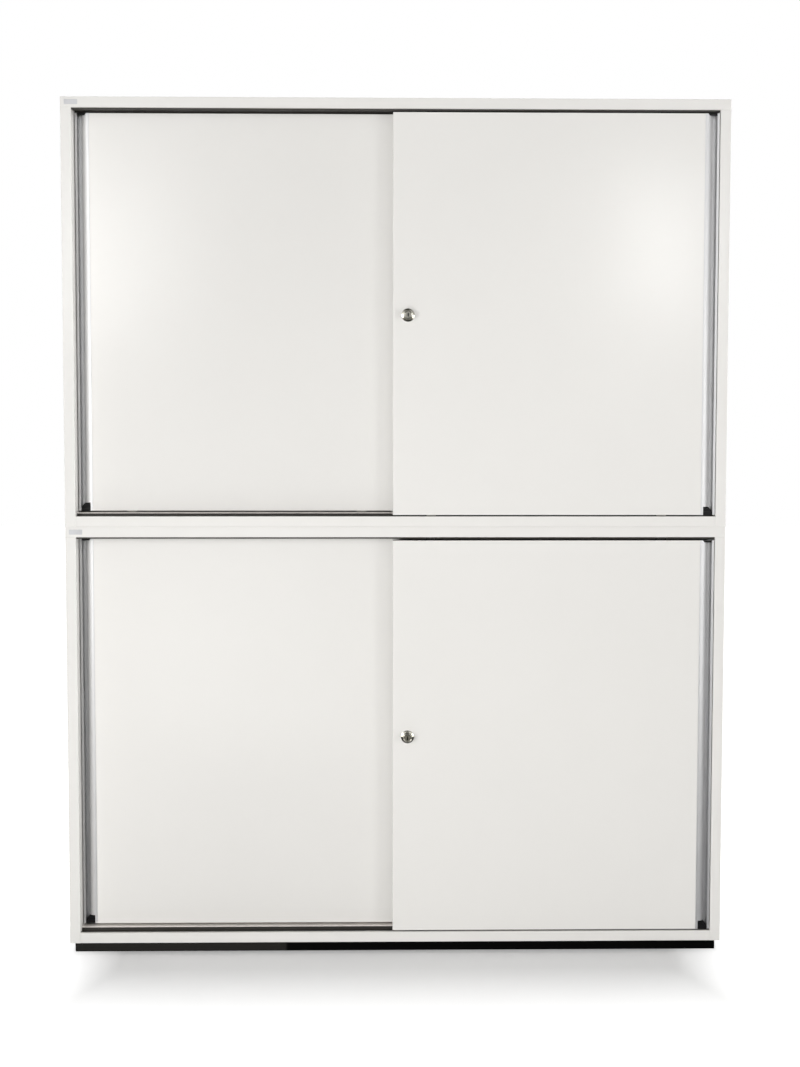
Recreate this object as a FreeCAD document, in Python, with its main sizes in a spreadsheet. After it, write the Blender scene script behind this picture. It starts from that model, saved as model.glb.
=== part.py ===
"""Two stacked sliding door cases on a plinth, as separate boards, profiles, runners and locks.

Millimetres. +Z is up, the doors face -Y, +X is to the right of someone facing them, and the origin is
the middle of the footprint, on the floor. The front (right) door of each case runs in the front slot of
the tracks and the rear (left) door in the rear slot. Both doors stand closed.
"""

import FreeCAD, Part

import os
import re

import Sketcher

TIERS = ("lower", "upper")
DOORS = ("front", "rear")
SAME = 1e-6  # two places or directions nearer than this are one

DIMENSIONS = (
    ("case_width", 1200, "outer width of one case"),
    ("case_height", 768, "outer height of one case"),
    ("case_depth", 450, "outer depth of one case"),
    ("board", 19, "thickness of the case boards and shelves"),
    ("board_edge", 0.8, "radius of the case boards' front edges"),
    ("plinth_height", 18, "height of the plinth under the lower case"),
    ("plinth_side_inset", 8, "plinth set back from the sides"),
    ("plinth_front_inset", 8, "plinth set back from the front"),
    ("plinth_back_inset", 20, "plinth set back from the back"),
    ("plinth_rail", 40, "width of a plinth rail"),
    ("plinth_sheet", 2, "thickness of the plinth's folded sheet"),
    ("plinth_corner", 2.5, "radius of the plinth's outer corners"),
    ("back_board", 8, "thickness of the back panel"),
    ("back_inset", 10, "back panel to the rear edges"),
    ("back_groove", 8, "depth of the groove that holds the back panel"),
    ("groove_spare", 1, "spare depth in the back panel's groove"),
    ("partition_front", 60, "front plane to the partition"),
    ("shelf_front", 72, "front plane to the shelves"),
    ("shelf_depth", 356, "depth of a shelf"),
    ("shelf_side_gap", 1, "clearance at each end of a shelf"),
    ("hole_radius", 2.55, "radius of a shelf pin hole"),
    ("hole_depth", 9, "depth of a shelf pin hole"),
    ("hole_pitch", 32, "spacing of the shelf pin holes"),
    ("hole_count", 9, "shelf pin holes in a row"),
    ("hole_first", 256, "case bottom to the lowest shelf pin hole"),
    ("hole_row_front", 110, "front plane to the front row of holes"),
    ("hole_row_back", 390, "front plane to the back row of holes"),
    ("pin_radius", 2.5, "radius of a shelf pin"),
    ("pin_inside", 8, "length of a shelf pin in its hole"),
    ("pin_outside", 8, "length of a shelf pin under the shelf"),
    ("pin_collar", 4, "radius of a shelf pin's collar"),
    ("pin_collar_width", 1.2, "width of a shelf pin's collar"),
    ("track_front", 6, "front plane to the tracks"),
    ("track_lip", 4, "outer wall of a track beside its slot"),
    ("slot_width", 8, "width of a track slot"),
    ("door_pitch", 32, "front slot to rear slot"),
    ("top_track_height", 9, "height of the top track"),
    ("top_track_sink", 6, "top track let into the top panel"),
    ("top_slot_depth", 7.5, "depth of a slot in the top track"),
    ("bottom_track_sink", 5, "bottom track let into the bottom panel"),
    ("bottom_lip_height", 7, "height of the bottom track's front lip"),
    ("front_slot_floor", 1.3, "floor thickness under the front slot"),
    ("rear_slot_floor", 7.3, "floor thickness under the rear slot"),
    ("rib_height", 11, "height of the bottom track's rib and rear slot walls"),
    ("rib_front", 14.5, "front of the bottom track to its rib"),
    ("rib_back", 22, "front of the bottom track to the back of its rib"),
    ("rear_wall", 3, "thickness of the rear slot's front wall"),
    ("door_inset", 1, "front plane to the front door's face"),
    ("door_board", 18, "thickness of a door"),
    ("door_overlap", 13, "overlap of the closed doors"),
    ("door_side_gap", 2.3, "door to side panel, closed"),
    ("front_door_bottom_gap", 2.5, "bottom panel to the front door"),
    ("front_door_top_gap", 6, "front door to the top panel"),
    ("rear_door_bottom_gap", 8.5, "bottom panel to the rear door"),
    ("rear_door_top_gap", 4.5, "rear door to the top panel"),
    ("door_edge", 0.6, "radius of a door's edge band"),
    ("grip_width", 24.5, "width of a grip profile"),
    ("grip_mouth", 12.5, "board to the recess of a grip profile"),
    ("grip_roll", 8, "radius of the rounded side of the recess"),
    ("grip_recess", 12, "depth of the finger recess"),
    ("grip_lip", 2.7, "width of the outer lip"),
    ("grip_corner", 2.5, "radius in the corners of the recess"),
    ("grip_wall", 2, "wall of a grip profile's chamber"),
    ("chamber_front", 4.5, "door face to a grip profile's chamber"),
    ("chamber_width", 8, "width of a grip profile's chamber"),
    ("tongue_length", 6.5, "tongue of a grip profile in the door's edge"),
    ("tongue_thick", 2, "thickness of the tongue"),
    ("tongue_front", 8, "door face to the tongue"),
    ("notch_side", 4.5, "board to the end notch of a grip profile"),
    ("notch_depth", 14, "door face to the back of an end notch"),
    ("bottom_notch", 15, "height of the lower end notch"),
    ("top_notch", 5, "height of the upper end notch"),
    ("cap_gap", 0.1, "clearance around an end cap"),
    ("cap_inset", 0.6, "door face to the front of an end cap"),
    ("cap_chamfer_width", 6.5, "width of the lower cap's sloping corner"),
    ("cap_chamfer_height", 8.5, "height of the lower cap's sloping corner"),
    ("runner_length", 44, "length of a runner housing"),
    ("runner_depth", 10, "depth of a runner housing"),
    ("runner_height", 18, "height of a runner housing"),
    ("runner_end", 70, "door board's end to the middle of a runner"),
    ("runner_centre", 13, "door face to the middle of its runners"),
    ("roller_radius", 10, "radius of a roller"),
    ("roller_width", 6, "width of a roller"),
    ("roller_edge", 0.6, "chamfer of a roller's tread"),
    ("roller_bore", 2.05, "radius of a roller's bore"),
    ("axle_radius", 2, "radius of the stub axle moulded in a housing"),
    ("axle_height", 4, "door's lower edge to the axle"),
    ("fork_width", 7, "slot of a runner housing around its roller"),
    ("fork_play", 1, "clearance round a roller in its housing"),
    ("guide_length", 30, "length of a top guide"),
    ("guide_height", 16, "height of a top guide in the door"),
    ("guide_tongue_length", 20, "length of a guide's tongue"),
    ("guide_tongue_width", 6, "width of a guide's tongue"),
    ("guide_tongue_height", 6, "guide's tongue above the door"),
    ("lock_side", 27, "front door's free edge to the lock"),
    ("lock_hole", 9.6, "radius of the lock's hole in the door"),
    ("rosette_radius", 12, "radius of the lock's rosette"),
    ("rosette_thick", 2, "thickness of the rosette"),
    ("rosette_chamfer", 1.2, "chamfer of the rosette"),
    ("barrel_radius", 9.5, "radius of the lock's barrel"),
    ("barrel_length", 21.5, "length of the barrel behind the rosette"),
    ("plug_bore", 8.1, "radius of the barrel's bore"),
    ("plug_radius", 8, "radius of the push cylinder"),
    ("plug_stand", 16, "push cylinder out of the door, unlocked"),
    ("plug_chamfer", 0.8, "chamfer of the push cylinder's face"),
    ("key_slot_width", 2, "width of the key slot"),
    ("key_slot_height", 8.5, "height of the key slot"),
    ("key_slot_depth", 9, "depth of the key slot"),
    ("nut_radius", 12.5, "radius of the lock's nut"),
    ("nut_thick", 3, "thickness of the lock's nut"),
    ("keeper_width", 13, "width of the keeper"),
    ("keeper_out", 1.5, "keeper past the rear door's free edge"),
    ("keeper_height", 46, "height of the keeper's plate"),
    ("keeper_lug_height", 24, "height of the keeper's lug"),
    ("keeper_sheet", 2, "thickness of the keeper's plate"),
    ("keeper_lug", 3, "thickness of the keeper's lug"),
    ("keeper_reach", 9, "keeper's lug out from the rear door's face"),
    ("bolt_side", 480, "middle of the case to a joining bolt"),
    ("bolt_front", 120, "front plane to the front joining bolts"),
    ("bolt_back", 380, "front plane to the back joining bolts"),
    ("bolt_radius", 3.3, "radius of a joining bolt"),
    ("bolt_hole", 3.4, "radius of a joining bolt's hole"),
    ("bolt_head", 7.5, "radius of a joining bolt's head"),
    ("bolt_head_thick", 2.5, "thickness of a joining bolt's head"),
    ("plate_side", 7, "case side to its blank plate"),
    ("plate_drop", 5, "case top to its blank plate"),
    ("plate_width", 24, "width of a blank plate"),
    ("plate_height", 9, "height of a blank plate"),
    ("plate_thick", 0.6, "thickness of a blank plate"),
)
ALIASES = {alias for alias, _, _ in DIMENSIONS}

doc = FreeCAD.newDocument("sliding_door_cabinet")
sheet = doc.addObject("Spreadsheet::Sheet", "Sizes")
for row, (alias, value, meaning) in enumerate(DIMENSIONS, start=1):
    sheet.set(f"A{row}", alias)
    sheet.set(f"B{row}", str(value))
    sheet.setAlias(f"B{row}", alias)
    sheet.set(f"C{row}", meaning)
doc.recompute()

# Places in the row's frame, as expressions on the sheet's aliases.
FRONT = "-(case_depth - plug_stand + door_inset)/2"
INNER_RIGHT = "(case_width/2 - board)"
BASE = {"lower": "plinth_height", "upper": "plinth_height + case_height"}
FACE = {"front": f"{FRONT} + door_inset", "rear": f"{FRONT} + door_inset + door_pitch"}
BOTTOM_GAP = {door: f"{door}_door_bottom_gap" for door in DOORS}
DOOR_HEIGHT = {
    door: f"(case_height - 2*board - {door}_door_bottom_gap - {door}_door_top_gap)" for door in DOORS
}
BOARD_WIDTH = f"({INNER_RIGHT} - door_side_gap - grip_width + door_overlap/2)"
BACK_PLANE = "(case_depth - back_inset - back_board)"
TRACK_DEPTH = "(door_pitch + slot_width + 2*track_lip)"
LOCK_X = "(lock_side - door_overlap/2)"

nodes = []


def bound(text):
    """The expression with every alias read from the sheet."""
    return re.sub(r"[a-z]\w*", lambda word: f"Sizes.{word[0]}" if word[0] in ALIASES else word[0], text)


def bind(thing, **sizes):
    """Binds an object's properties to expressions. Dots in a property's path are written as __."""
    for path, text in sizes.items():
        thing.setExpression(path.replace("__", "."), bound(text))


def place(thing, x, y, z):
    """Binds an object's position."""
    bind(thing, Placement__Base__x=x, Placement__Base__y=y, Placement__Base__z=z)


def node(thing, label):
    """Marks an object as one of the pieces that are written out."""
    thing.Label = label
    nodes.append(thing)
    return thing


def new_body(label, x, y, z):
    """An empty body for one piece, placed in the row's frame."""
    body = node(doc.addObject("PartDesign::Body", label), label)
    place(body, x, y, z)
    return body


def sketch_on(body, name, plane, height="0"):
    """A sketch on one of the body's own planes, moved along the plane's normal by height."""
    sketch = body.newObject("Sketcher::SketchObject", f"{body.Name}_{name}")
    own_plane = next(f for f in body.Origin.OriginFeatures if f.Role == f"{plane}_Plane")
    sketch.AttachmentSupport = (own_plane, [""])
    sketch.MapMode = "FlatFace"
    bind(sketch, AttachmentOffset__Base__z=height)
    return sketch


def hold(sketch, kind, geometry, point, text):
    """Holds a point's distance from the sketch's origin along one axis."""
    if text == "0":
        axis = -2 if kind == "DistanceX" else -1
        sketch.addConstraint(Sketcher.Constraint("PointOnObject", geometry, point, axis))
        return
    line = sketch.addConstraint(Sketcher.Constraint(kind, -1, 1, geometry, point, 1.0))
    sketch.setExpression(f"Constraints[{line}]", bound(text))


def polygon(sketch, points):
    """A closed outline through points given as pairs of expressions."""
    first = sketch.GeometryCount
    count = len(points)
    rough = [FreeCAD.Vector(1 + k, 1 + k * k, 0) for k in range(count)]
    for k in range(count):
        sketch.addGeometry(Part.LineSegment(rough[k], rough[(k + 1) % count]), False)
    for k in range(count):
        follows = first + (k + 1) % count
        sketch.addConstraint(Sketcher.Constraint("Coincident", first + k, 2, follows, 1))
    for k, (across, up) in enumerate(points):
        hold(sketch, "DistanceX", first + k, 1, across)
        hold(sketch, "DistanceY", first + k, 1, up)


def rectangle(sketch, left, right, low, high):
    """A rectangle between four expressions."""
    polygon(sketch, ((left, low), (right, low), (right, high), (left, high)))


def circle(sketch, across, up, radius):
    """A circle whose centre and radius are expressions."""
    number = sketch.addGeometry(Part.Circle(FreeCAD.Vector(1, 1, 0), FreeCAD.Vector(0, 0, 1), 1), False)
    hold(sketch, "DistanceX", number, 3, across)
    hold(sketch, "DistanceY", number, 3, up)
    line = sketch.addConstraint(Sketcher.Constraint("Radius", number, 1.0))
    sketch.setExpression(f"Constraints[{line}]", bound(radius))


def pad(body, name, sketch, length, backwards=False):
    """Pads a sketch by length."""
    feature = body.newObject("PartDesign::Pad", f"{body.Name}_{name}")
    feature.Profile = sketch
    feature.Reversed = backwards
    bind(feature, Length=length)
    doc.recompute()
    return feature


def pocket(body, name, sketch, depth, backwards=False):
    """Cuts a sketch out of the body, and checks that it cut something."""
    before = body.Shape.Volume
    feature = body.newObject("PartDesign::Pocket", f"{body.Name}_{name}")
    feature.Profile = sketch
    feature.Reversed = backwards
    bind(feature, Length=depth)
    doc.recompute()
    if body.Shape.Volume >= before:
        raise RuntimeError(f"{feature.Name} cut nothing")
    return feature


def edges_along(shape, direction, wanted):
    """The names of the straight edges along a direction whose middles satisfy wanted."""
    names = []
    for number, edge in enumerate(shape.Edges, start=1):
        ends = [vertex.Point for vertex in edge.Vertexes]
        if len(ends) == 2 and (ends[1] - ends[0]).cross(direction).Length < SAME:
            if wanted((ends[0] + ends[1]) / 2):
                names.append(f"Edge{number}")
    return names


def soften(body, name, kind, size, edges):
    """Rounds or chamfers named edges of the body's last feature."""
    base = body.Tip
    feature = body.newObject(f"PartDesign::{kind}", f"{body.Name}_{name}")
    feature.Base = (base, edges)
    bind(feature, **{"Radius" if kind == "Fillet" else "Size": size})
    doc.recompute()
    return feature


def box(name, at, size):
    """A box with its low corner and its size given as expressions."""
    solid = doc.addObject("Part::Box", name)
    bind(solid, Length=size[0], Width=size[1], Height=size[2])
    place(solid, *at)
    return solid


def rod(name, at, radius, length, axis):
    """A cylinder from a point along +X, +Y or +Z."""
    solid = doc.addObject("Part::Cylinder", name)
    bind(solid, Radius=radius, Height=length)
    up = FreeCAD.Vector(0, 0, 1)
    solid.Placement = FreeCAD.Placement(FreeCAD.Vector(), FreeCAD.Rotation(up, axis))
    place(solid, *at)
    return solid


def cut(name, base, tool):
    """Base less tool."""
    solid = doc.addObject("Part::Cut", name)
    solid.Base, solid.Tool = base, tool
    return solid


def fuse(name, *solids):
    """One solid out of several that meet."""
    solid = doc.addObject("Part::MultiFuse", name)
    solid.Shapes = list(solids)
    solid.Refine = True
    return solid


def group(label, solids):
    """Separate solids that share one node."""
    together = doc.addObject("Part::Compound", label)
    together.Links = list(solids)
    return node(together, label)


X_AXIS, Y_AXIS, Z_AXIS = FreeCAD.Vector(1, 0, 0), FreeCAD.Vector(0, 1, 0), FreeCAD.Vector(0, 0, 1)


# ---- Case boards ------------------------------------------------------------------------------------


def front_edges_rounded(body):
    """Rounds the long edges of a board's front face, which lies at the body's y = 0."""
    along = X_AXIS if body.Shape.BoundBox.XLength > body.Shape.BoundBox.ZLength else Z_AXIS
    edges = edges_along(body.Tip.Shape, along, lambda middle: middle.y < SAME)
    soften(body, "edge", "Fillet", "board_edge", edges)


def lid_edges_rounded(body):
    """Rounds a top panel's front edges, its front corners and the upper edges of its ends."""
    shape = body.Tip.Shape
    high, wide = sheet.get("board"), sheet.get("case_width")
    edges = edges_along(shape, X_AXIS, lambda middle: middle.y < SAME)
    edges += edges_along(shape, Z_AXIS, lambda middle: middle.y < SAME)
    edges += edges_along(
        shape, Y_AXIS, lambda middle: middle.z > high - SAME and min(middle.x, wide - middle.x) < SAME
    )
    soften(body, "edge", "Fillet", "board_edge", edges)


def bolt_holes(body, middle):
    """Four holes through a lying board for the bolts that join the cases."""
    sketch = sketch_on(body, "bolts", "XY")
    for across in (f"{middle} - bolt_side", f"{middle} + bolt_side"):
        for back in ("bolt_front", "bolt_back"):
            circle(sketch, across, back, "bolt_hole")
    pocket(body, "bolt_holes", sketch, "board", backwards=True)


def top_panel(tier):
    """The top panel lies over both sides, with the top track and the back panel let into it."""
    body = new_body(f"{tier}_top_panel", "-case_width/2", FRONT, f"{BASE[tier]} + case_height - board")
    sketch = sketch_on(body, "outline", "XY")
    rectangle(sketch, "0", "case_width", "0", "case_depth")
    pad(body, "board", sketch, "board")
    sketch = sketch_on(body, "track", "XY")
    back = f"track_front + {TRACK_DEPTH}"
    rectangle(sketch, "board", "case_width - board", "track_front", back)
    pocket(body, "track_recess", sketch, "top_track_sink", backwards=True)
    sketch = sketch_on(body, "back", "XY")
    left, right = "board - back_groove", "case_width - board + back_groove"
    rectangle(sketch, left, right, BACK_PLANE, f"{BACK_PLANE} + back_board")
    pocket(body, "back_groove", sketch, "back_groove", backwards=True)
    if tier == "lower":
        bolt_holes(body, "case_width/2")
    lid_edges_rounded(body)


def bottom_panel(tier):
    """The bottom panel stands between the sides, with the bottom track and the back panel let into it."""
    body = new_body(f"{tier}_bottom_panel", "board - case_width/2", FRONT, BASE[tier])
    sketch = sketch_on(body, "outline", "XY")
    rectangle(sketch, "0", "case_width - 2*board", "0", "case_depth")
    pad(body, "board", sketch, "board")
    sketch = sketch_on(body, "track", "XY", "board")
    rectangle(sketch, "0", "case_width - 2*board", "track_front", f"track_front + {TRACK_DEPTH}")
    pocket(body, "track_recess", sketch, "bottom_track_sink")
    sketch = sketch_on(body, "back", "XY", "board")
    rectangle(sketch, "0", "case_width - 2*board", BACK_PLANE, f"{BACK_PLANE} + back_board")
    pocket(body, "back_groove", sketch, "back_groove")
    if tier == "upper":
        bolt_holes(body, "case_width/2 - board")
    front_edges_rounded(body)


def pin_holes(body, board_front, board_low, height, depth, backwards):
    """Two rows of shelf pin holes along X from a plane at height, in a board that starts board_front
    behind the front plane and board_low above the case's bottom."""
    sketch = sketch_on(body, "pins", "YZ", height)
    for back in ("hole_row_front", "hole_row_back"):
        circle(sketch, f"{back} - {board_front}", f"hole_first - {board_low}", "hole_radius")
    drilled = pocket(body, "pin_holes", sketch, depth, backwards)
    rows = body.newObject("PartDesign::LinearPattern", f"{body.Name}_pin_rows")
    rows.Originals = [drilled]
    rows.Direction = (sketch, ["V_Axis"])
    bind(rows, Length="hole_pitch*(hole_count - 1)", Occurrences="hole_count")
    body.Tip = rows
    doc.recompute()


def side_panel(tier, side):
    """A side panel runs from the top panel to the case's bottom, drilled inside for the shelf pins."""
    left = side == "left"
    x = "-case_width/2" if left else INNER_RIGHT
    body = new_body(f"{tier}_{side}_panel", x, FRONT, BASE[tier])
    sketch = sketch_on(body, "outline", "XY")
    rectangle(sketch, "0", "board", "0", "case_depth")
    pad(body, "board", sketch, "case_height - board")
    sketch = sketch_on(body, "back", "XY")
    low, high = ("board - back_groove", "board") if left else ("0", "back_groove")
    rectangle(sketch, low, high, BACK_PLANE, f"{BACK_PLANE} + back_board")
    pocket(body, "back_groove", sketch, "case_height - board", backwards=True)
    front_edges_rounded(body)
    pin_holes(body, "0", "0", "board" if left else "0", "hole_depth", not left)


def partition(tier):
    """The upright between the two halves stands behind the doors, drilled through for the pins."""
    body = new_body(
        f"{tier}_partition", "-board/2", f"{FRONT} + partition_front", f"{BASE[tier]} + board"
    )
    sketch = sketch_on(body, "outline", "XY")
    rectangle(sketch, "0", "board", "0", f"{BACK_PLANE} - partition_front")
    pad(body, "board", sketch, "case_height - 2*board")
    front_edges_rounded(body)
    pin_holes(body, "partition_front", "board", "0", "board", True)


def back_panel(tier):
    """The back panel sits in the grooves of the four boards round it."""
    reach = "(back_groove - groove_spare)"
    at = (f"-{INNER_RIGHT} - {reach}", f"{FRONT} + {BACK_PLANE}", f"{BASE[tier]} + board - {reach}")
    size = (f"2*{INNER_RIGHT} + 2*{reach}", "back_board", f"case_height - 2*board + 2*{reach}")
    node(box(f"{tier}_back_panel", at, size), f"{tier}_back_panel")


SHELF_LEVEL = "(hole_first + hole_pitch*(hole_count - 1)/2 + pin_radius)"


def shelf(tier, side):
    """A loose shelf on four pins."""
    low = "board/2" if side == "right" else f"-{INNER_RIGHT}"
    at = (f"{low} + shelf_side_gap", f"{FRONT} + shelf_front", f"{BASE[tier]} + {SHELF_LEVEL}")
    body = new_body(f"{tier}_{side}_shelf", *at)
    sketch = sketch_on(body, "outline", "XY")
    rectangle(sketch, "0", f"{INNER_RIGHT} - board/2 - 2*shelf_side_gap", "0", "shelf_depth")
    pad(body, "board", sketch, "board")
    front_edges_rounded(body)


def shelf_pins():
    """Steel pins with a collar, four under each shelf."""
    pins = []
    walls = (
        (f"-{INNER_RIGHT}", True),
        ("-board/2", False),
        ("board/2", True),
        (INNER_RIGHT, False),
    )
    for tier in TIERS:
        level = f"{BASE[tier]} + {SHELF_LEVEL} - pin_radius"
        for wall, to_right in walls:
            inside = f"{wall} - pin_inside" if to_right else f"{wall} - pin_outside"
            collar = wall if to_right else f"{wall} - pin_collar_width"
            for back in ("hole_row_front", "hole_row_back"):
                y = f"{FRONT} + {back}"
                name = f"pin_{len(pins)}"
                length = "pin_inside + pin_outside"
                shank = rod(f"{name}_shank", (inside, y, level), "pin_radius", length, X_AXIS)
                # The collar is cut flat on top, where the shelf lies on the shank.
                ring = rod(f"{name}_ring", (collar, y, level), "pin_collar", "pin_collar_width", X_AXIS)
                top = (collar, f"{y} - pin_collar", f"{level} + pin_radius")
                size = ("pin_collar_width", "2*pin_collar", "pin_collar")
                flat = cut(f"{name}_collar", ring, box(f"{name}_flat", top, size))
                pins.append(fuse(name, shank, flat))
    group("shelf_pins", pins)


# ---- Tracks -----------------------------------------------------------------------------------------


def top_track(tier):
    """An extrusion with two slots that open downwards, let into the top panel."""
    z = f"{BASE[tier]} + case_height - board + top_track_sink - top_track_height"
    body = new_body(f"{tier}_top_track", f"-{INNER_RIGHT}", f"{FRONT} + track_front", z)
    sketch = sketch_on(body, "outline", "YZ")
    outline = [("0", "0")]
    for start in ("track_lip", "track_lip + door_pitch"):
        end = f"{start} + slot_width"
        outline += [(start, "0"), (start, "top_slot_depth"), (end, "top_slot_depth"), (end, "0")]
    outline += [(TRACK_DEPTH, "0"), (TRACK_DEPTH, "top_track_height"), ("0", "top_track_height")]
    polygon(sketch, outline)
    pad(body, "profile", sketch, "case_width - 2*board")


def bottom_track(tier):
    """An extrusion with a low front slot, a rib between the doors and a raised rear slot."""
    z = f"{BASE[tier]} + board - bottom_track_sink"
    body = new_body(f"{tier}_bottom_track", f"-{INNER_RIGHT}", f"{FRONT} + track_front", z)
    sketch = sketch_on(body, "outline", "YZ")
    front_end = "track_lip + slot_width"
    rear_start, rear_end = "track_lip + door_pitch", "track_lip + door_pitch + slot_width"
    polygon(
        sketch,
        (
            ("0", "0"),
            (TRACK_DEPTH, "0"),
            (TRACK_DEPTH, "rib_height"),
            (rear_end, "rib_height"),
            (rear_end, "rear_slot_floor"),
            (rear_start, "rear_slot_floor"),
            (rear_start, "rib_height"),
            (f"{rear_start} - rear_wall", "rib_height"),
            (f"{rear_start} - rear_wall", "bottom_lip_height"),
            ("rib_back", "bottom_lip_height"),
            ("rib_back", "rib_height"),
            ("rib_front", "rib_height"),
            ("rib_front", "bottom_lip_height"),
            (front_end, "bottom_lip_height"),
            (front_end, "front_slot_floor"),
            ("track_lip", "front_slot_floor"),
            ("track_lip", "bottom_lip_height"),
            ("0", "bottom_lip_height"),
        ),
    )
    pad(body, "profile", sketch, "case_width - 2*board")


# ---- Doors ------------------------------------------------------------------------------------------


def door_low(tier, door):
    """The height of a door's lower edge."""
    return f"{BASE[tier]} + board + {BOTTOM_GAP[door]}"


def board_left(door):
    """The low x of a door's board: the front door's grip is on its right, the rear door's on its left."""
    return "-door_overlap/2" if door == "front" else f"door_overlap/2 - {BOARD_WIDTH}"


def runner_places(door):
    """The two runners' middles along x."""
    left = board_left(door)
    inner, outer = f"{left} + runner_end", f"{left} + {BOARD_WIDTH} - runner_end"
    return {"inner": inner, "outer": outer} if door == "front" else {"inner": outer, "outer": inner}


def door_panel(tier, door):
    """A door board with a groove for the grip's tongue and milled seats for runners and guides."""
    name = f"{tier}_{door}_door_panel"
    body = new_body(name, board_left(door), FACE[door], door_low(tier, door))
    sketch = sketch_on(body, "outline", "XY")
    rectangle(sketch, "0", BOARD_WIDTH, "0", "door_board")
    pad(body, "board", sketch, DOOR_HEIGHT[door])
    sketch = sketch_on(body, "tongue", "XY")
    if door == "front":
        ends = (f"{BOARD_WIDTH} - tongue_length", BOARD_WIDTH)
    else:
        ends = ("0", "tongue_length")
    rectangle(sketch, *ends, "tongue_front", "tongue_front + tongue_thick")
    pocket(body, "grip_groove", sketch, DOOR_HEIGHT[door], backwards=True)
    middles = ("runner_end", f"{BOARD_WIDTH} - runner_end")
    seats = (
        ("runner_seats", "0", "runner_length", "runner_height", True),
        ("guide_seats", DOOR_HEIGHT[door], "guide_length", "guide_height", False),
    )
    for seat, height, length, depth, upwards in seats:
        sketch = sketch_on(body, f"{seat}_outline", "XY", height)
        for middle in middles:
            ends = (f"{middle} - {length}/2", f"{middle} + {length}/2")
            rectangle(sketch, *ends, "door_board - runner_depth", "door_board")
        pocket(body, seat, sketch, depth, backwards=upwards)
    if door == "front":
        sketch = sketch_on(body, "lock", "XZ")
        circle(sketch, "lock_side", f"{DOOR_HEIGHT[door]}/2", "lock_hole")
        pocket(body, "lock_hole", sketch, "door_board")
    grip_x = body.Shape.BoundBox.XLength if door == "front" else 0
    edges = []
    for along in (X_AXIS, Z_AXIS):
        edges += edges_along(
            body.Tip.Shape, along, lambda middle: middle.y < SAME and abs(middle.x - grip_x) > SAME
        )
    soften(body, "edge", "Fillet", "door_edge", edges)


def grip_across(door, text):
    """A distance across a grip profile from its tongue's tip, turned round for the rear door."""
    if door == "front":
        return text
    return "0" if text == "(tongue_length + grip_width)" else f"(tongue_length + grip_width) - ({text})"


def grip_left(door):
    """The low x of a grip profile with its tongue."""
    if door == "front":
        return f"{board_left(door)} + {BOARD_WIDTH} - tongue_length"
    return f"{board_left(door)} - grip_width"


def grip(tier, door):
    """A grip profile: a rounded side and a finger recess behind an outer lip, notched at both ends."""
    body = new_body(f"{tier}_{door}_door_grip", grip_left(door), FACE[door], door_low(tier, door))
    full = "(tongue_length + grip_width)"
    mouth = "tongue_length + grip_mouth"
    lip = f"{full} - grip_lip"
    outline = (
        ("tongue_length", "0"),
        (mouth, "0"),
        (mouth, "grip_recess"),
        (lip, "grip_recess"),
        (lip, "0"),
        (full, "0"),
        (full, "door_board"),
        ("tongue_length", "door_board"),
        ("tongue_length", "tongue_front + tongue_thick"),
        ("0" if door == "front" else full, "tongue_front + tongue_thick"),
        ("0" if door == "front" else full, "tongue_front"),
        ("tongue_length", "tongue_front"),
    )
    sketch = sketch_on(body, "outline", "XY")
    points = []
    for number, (across, back) in enumerate(outline):
        tip = number in (9, 10)
        points.append((across if tip else grip_across(door, across), back))
    polygon(sketch, points)
    chamber = (
        grip_across(door, "tongue_length + grip_wall"),
        grip_across(door, "tongue_length + grip_wall + chamber_width"),
    )
    rectangle(sketch, *chamber, "chamber_front", "door_board - grip_wall")
    pad(body, "profile", sketch, DOOR_HEIGHT[door])

    def at(text, back):
        """Whether an upright edge stands at a place across and back, in the sheet's sizes."""
        across = sum(sheet.get(word) for word in text)
        if door == "rear":
            across = sheet.get("tongue_length") + sheet.get("grip_width") - across
        return lambda middle: abs(middle.x - across) < SAME and abs(middle.y - back) < SAME

    rolled = edges_along(body.Tip.Shape, Z_AXIS, at(("tongue_length", "grip_mouth"), 0))
    soften(body, "roll", "Fillet", "grip_roll", rolled)
    corner = edges_along(
        body.Tip.Shape, Z_AXIS, at(("tongue_length", "grip_mouth"), sheet.get("grip_recess"))
    )
    soften(body, "corner", "Fillet", "grip_corner", corner)
    notches = (
        ("lower_notch", "0", "bottom_notch", True),
        ("upper_notch", DOOR_HEIGHT[door], "top_notch", False),
    )
    for name, height, depth, upwards in notches:
        sketch = sketch_on(body, f"{name}_outline", "XY", height)
        sides = (grip_across(door, "tongue_length + notch_side"), grip_across(door, lip))
        rectangle(sketch, *sides, "0", "notch_depth")
        pocket(body, name, sketch, depth, backwards=upwards)


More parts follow.
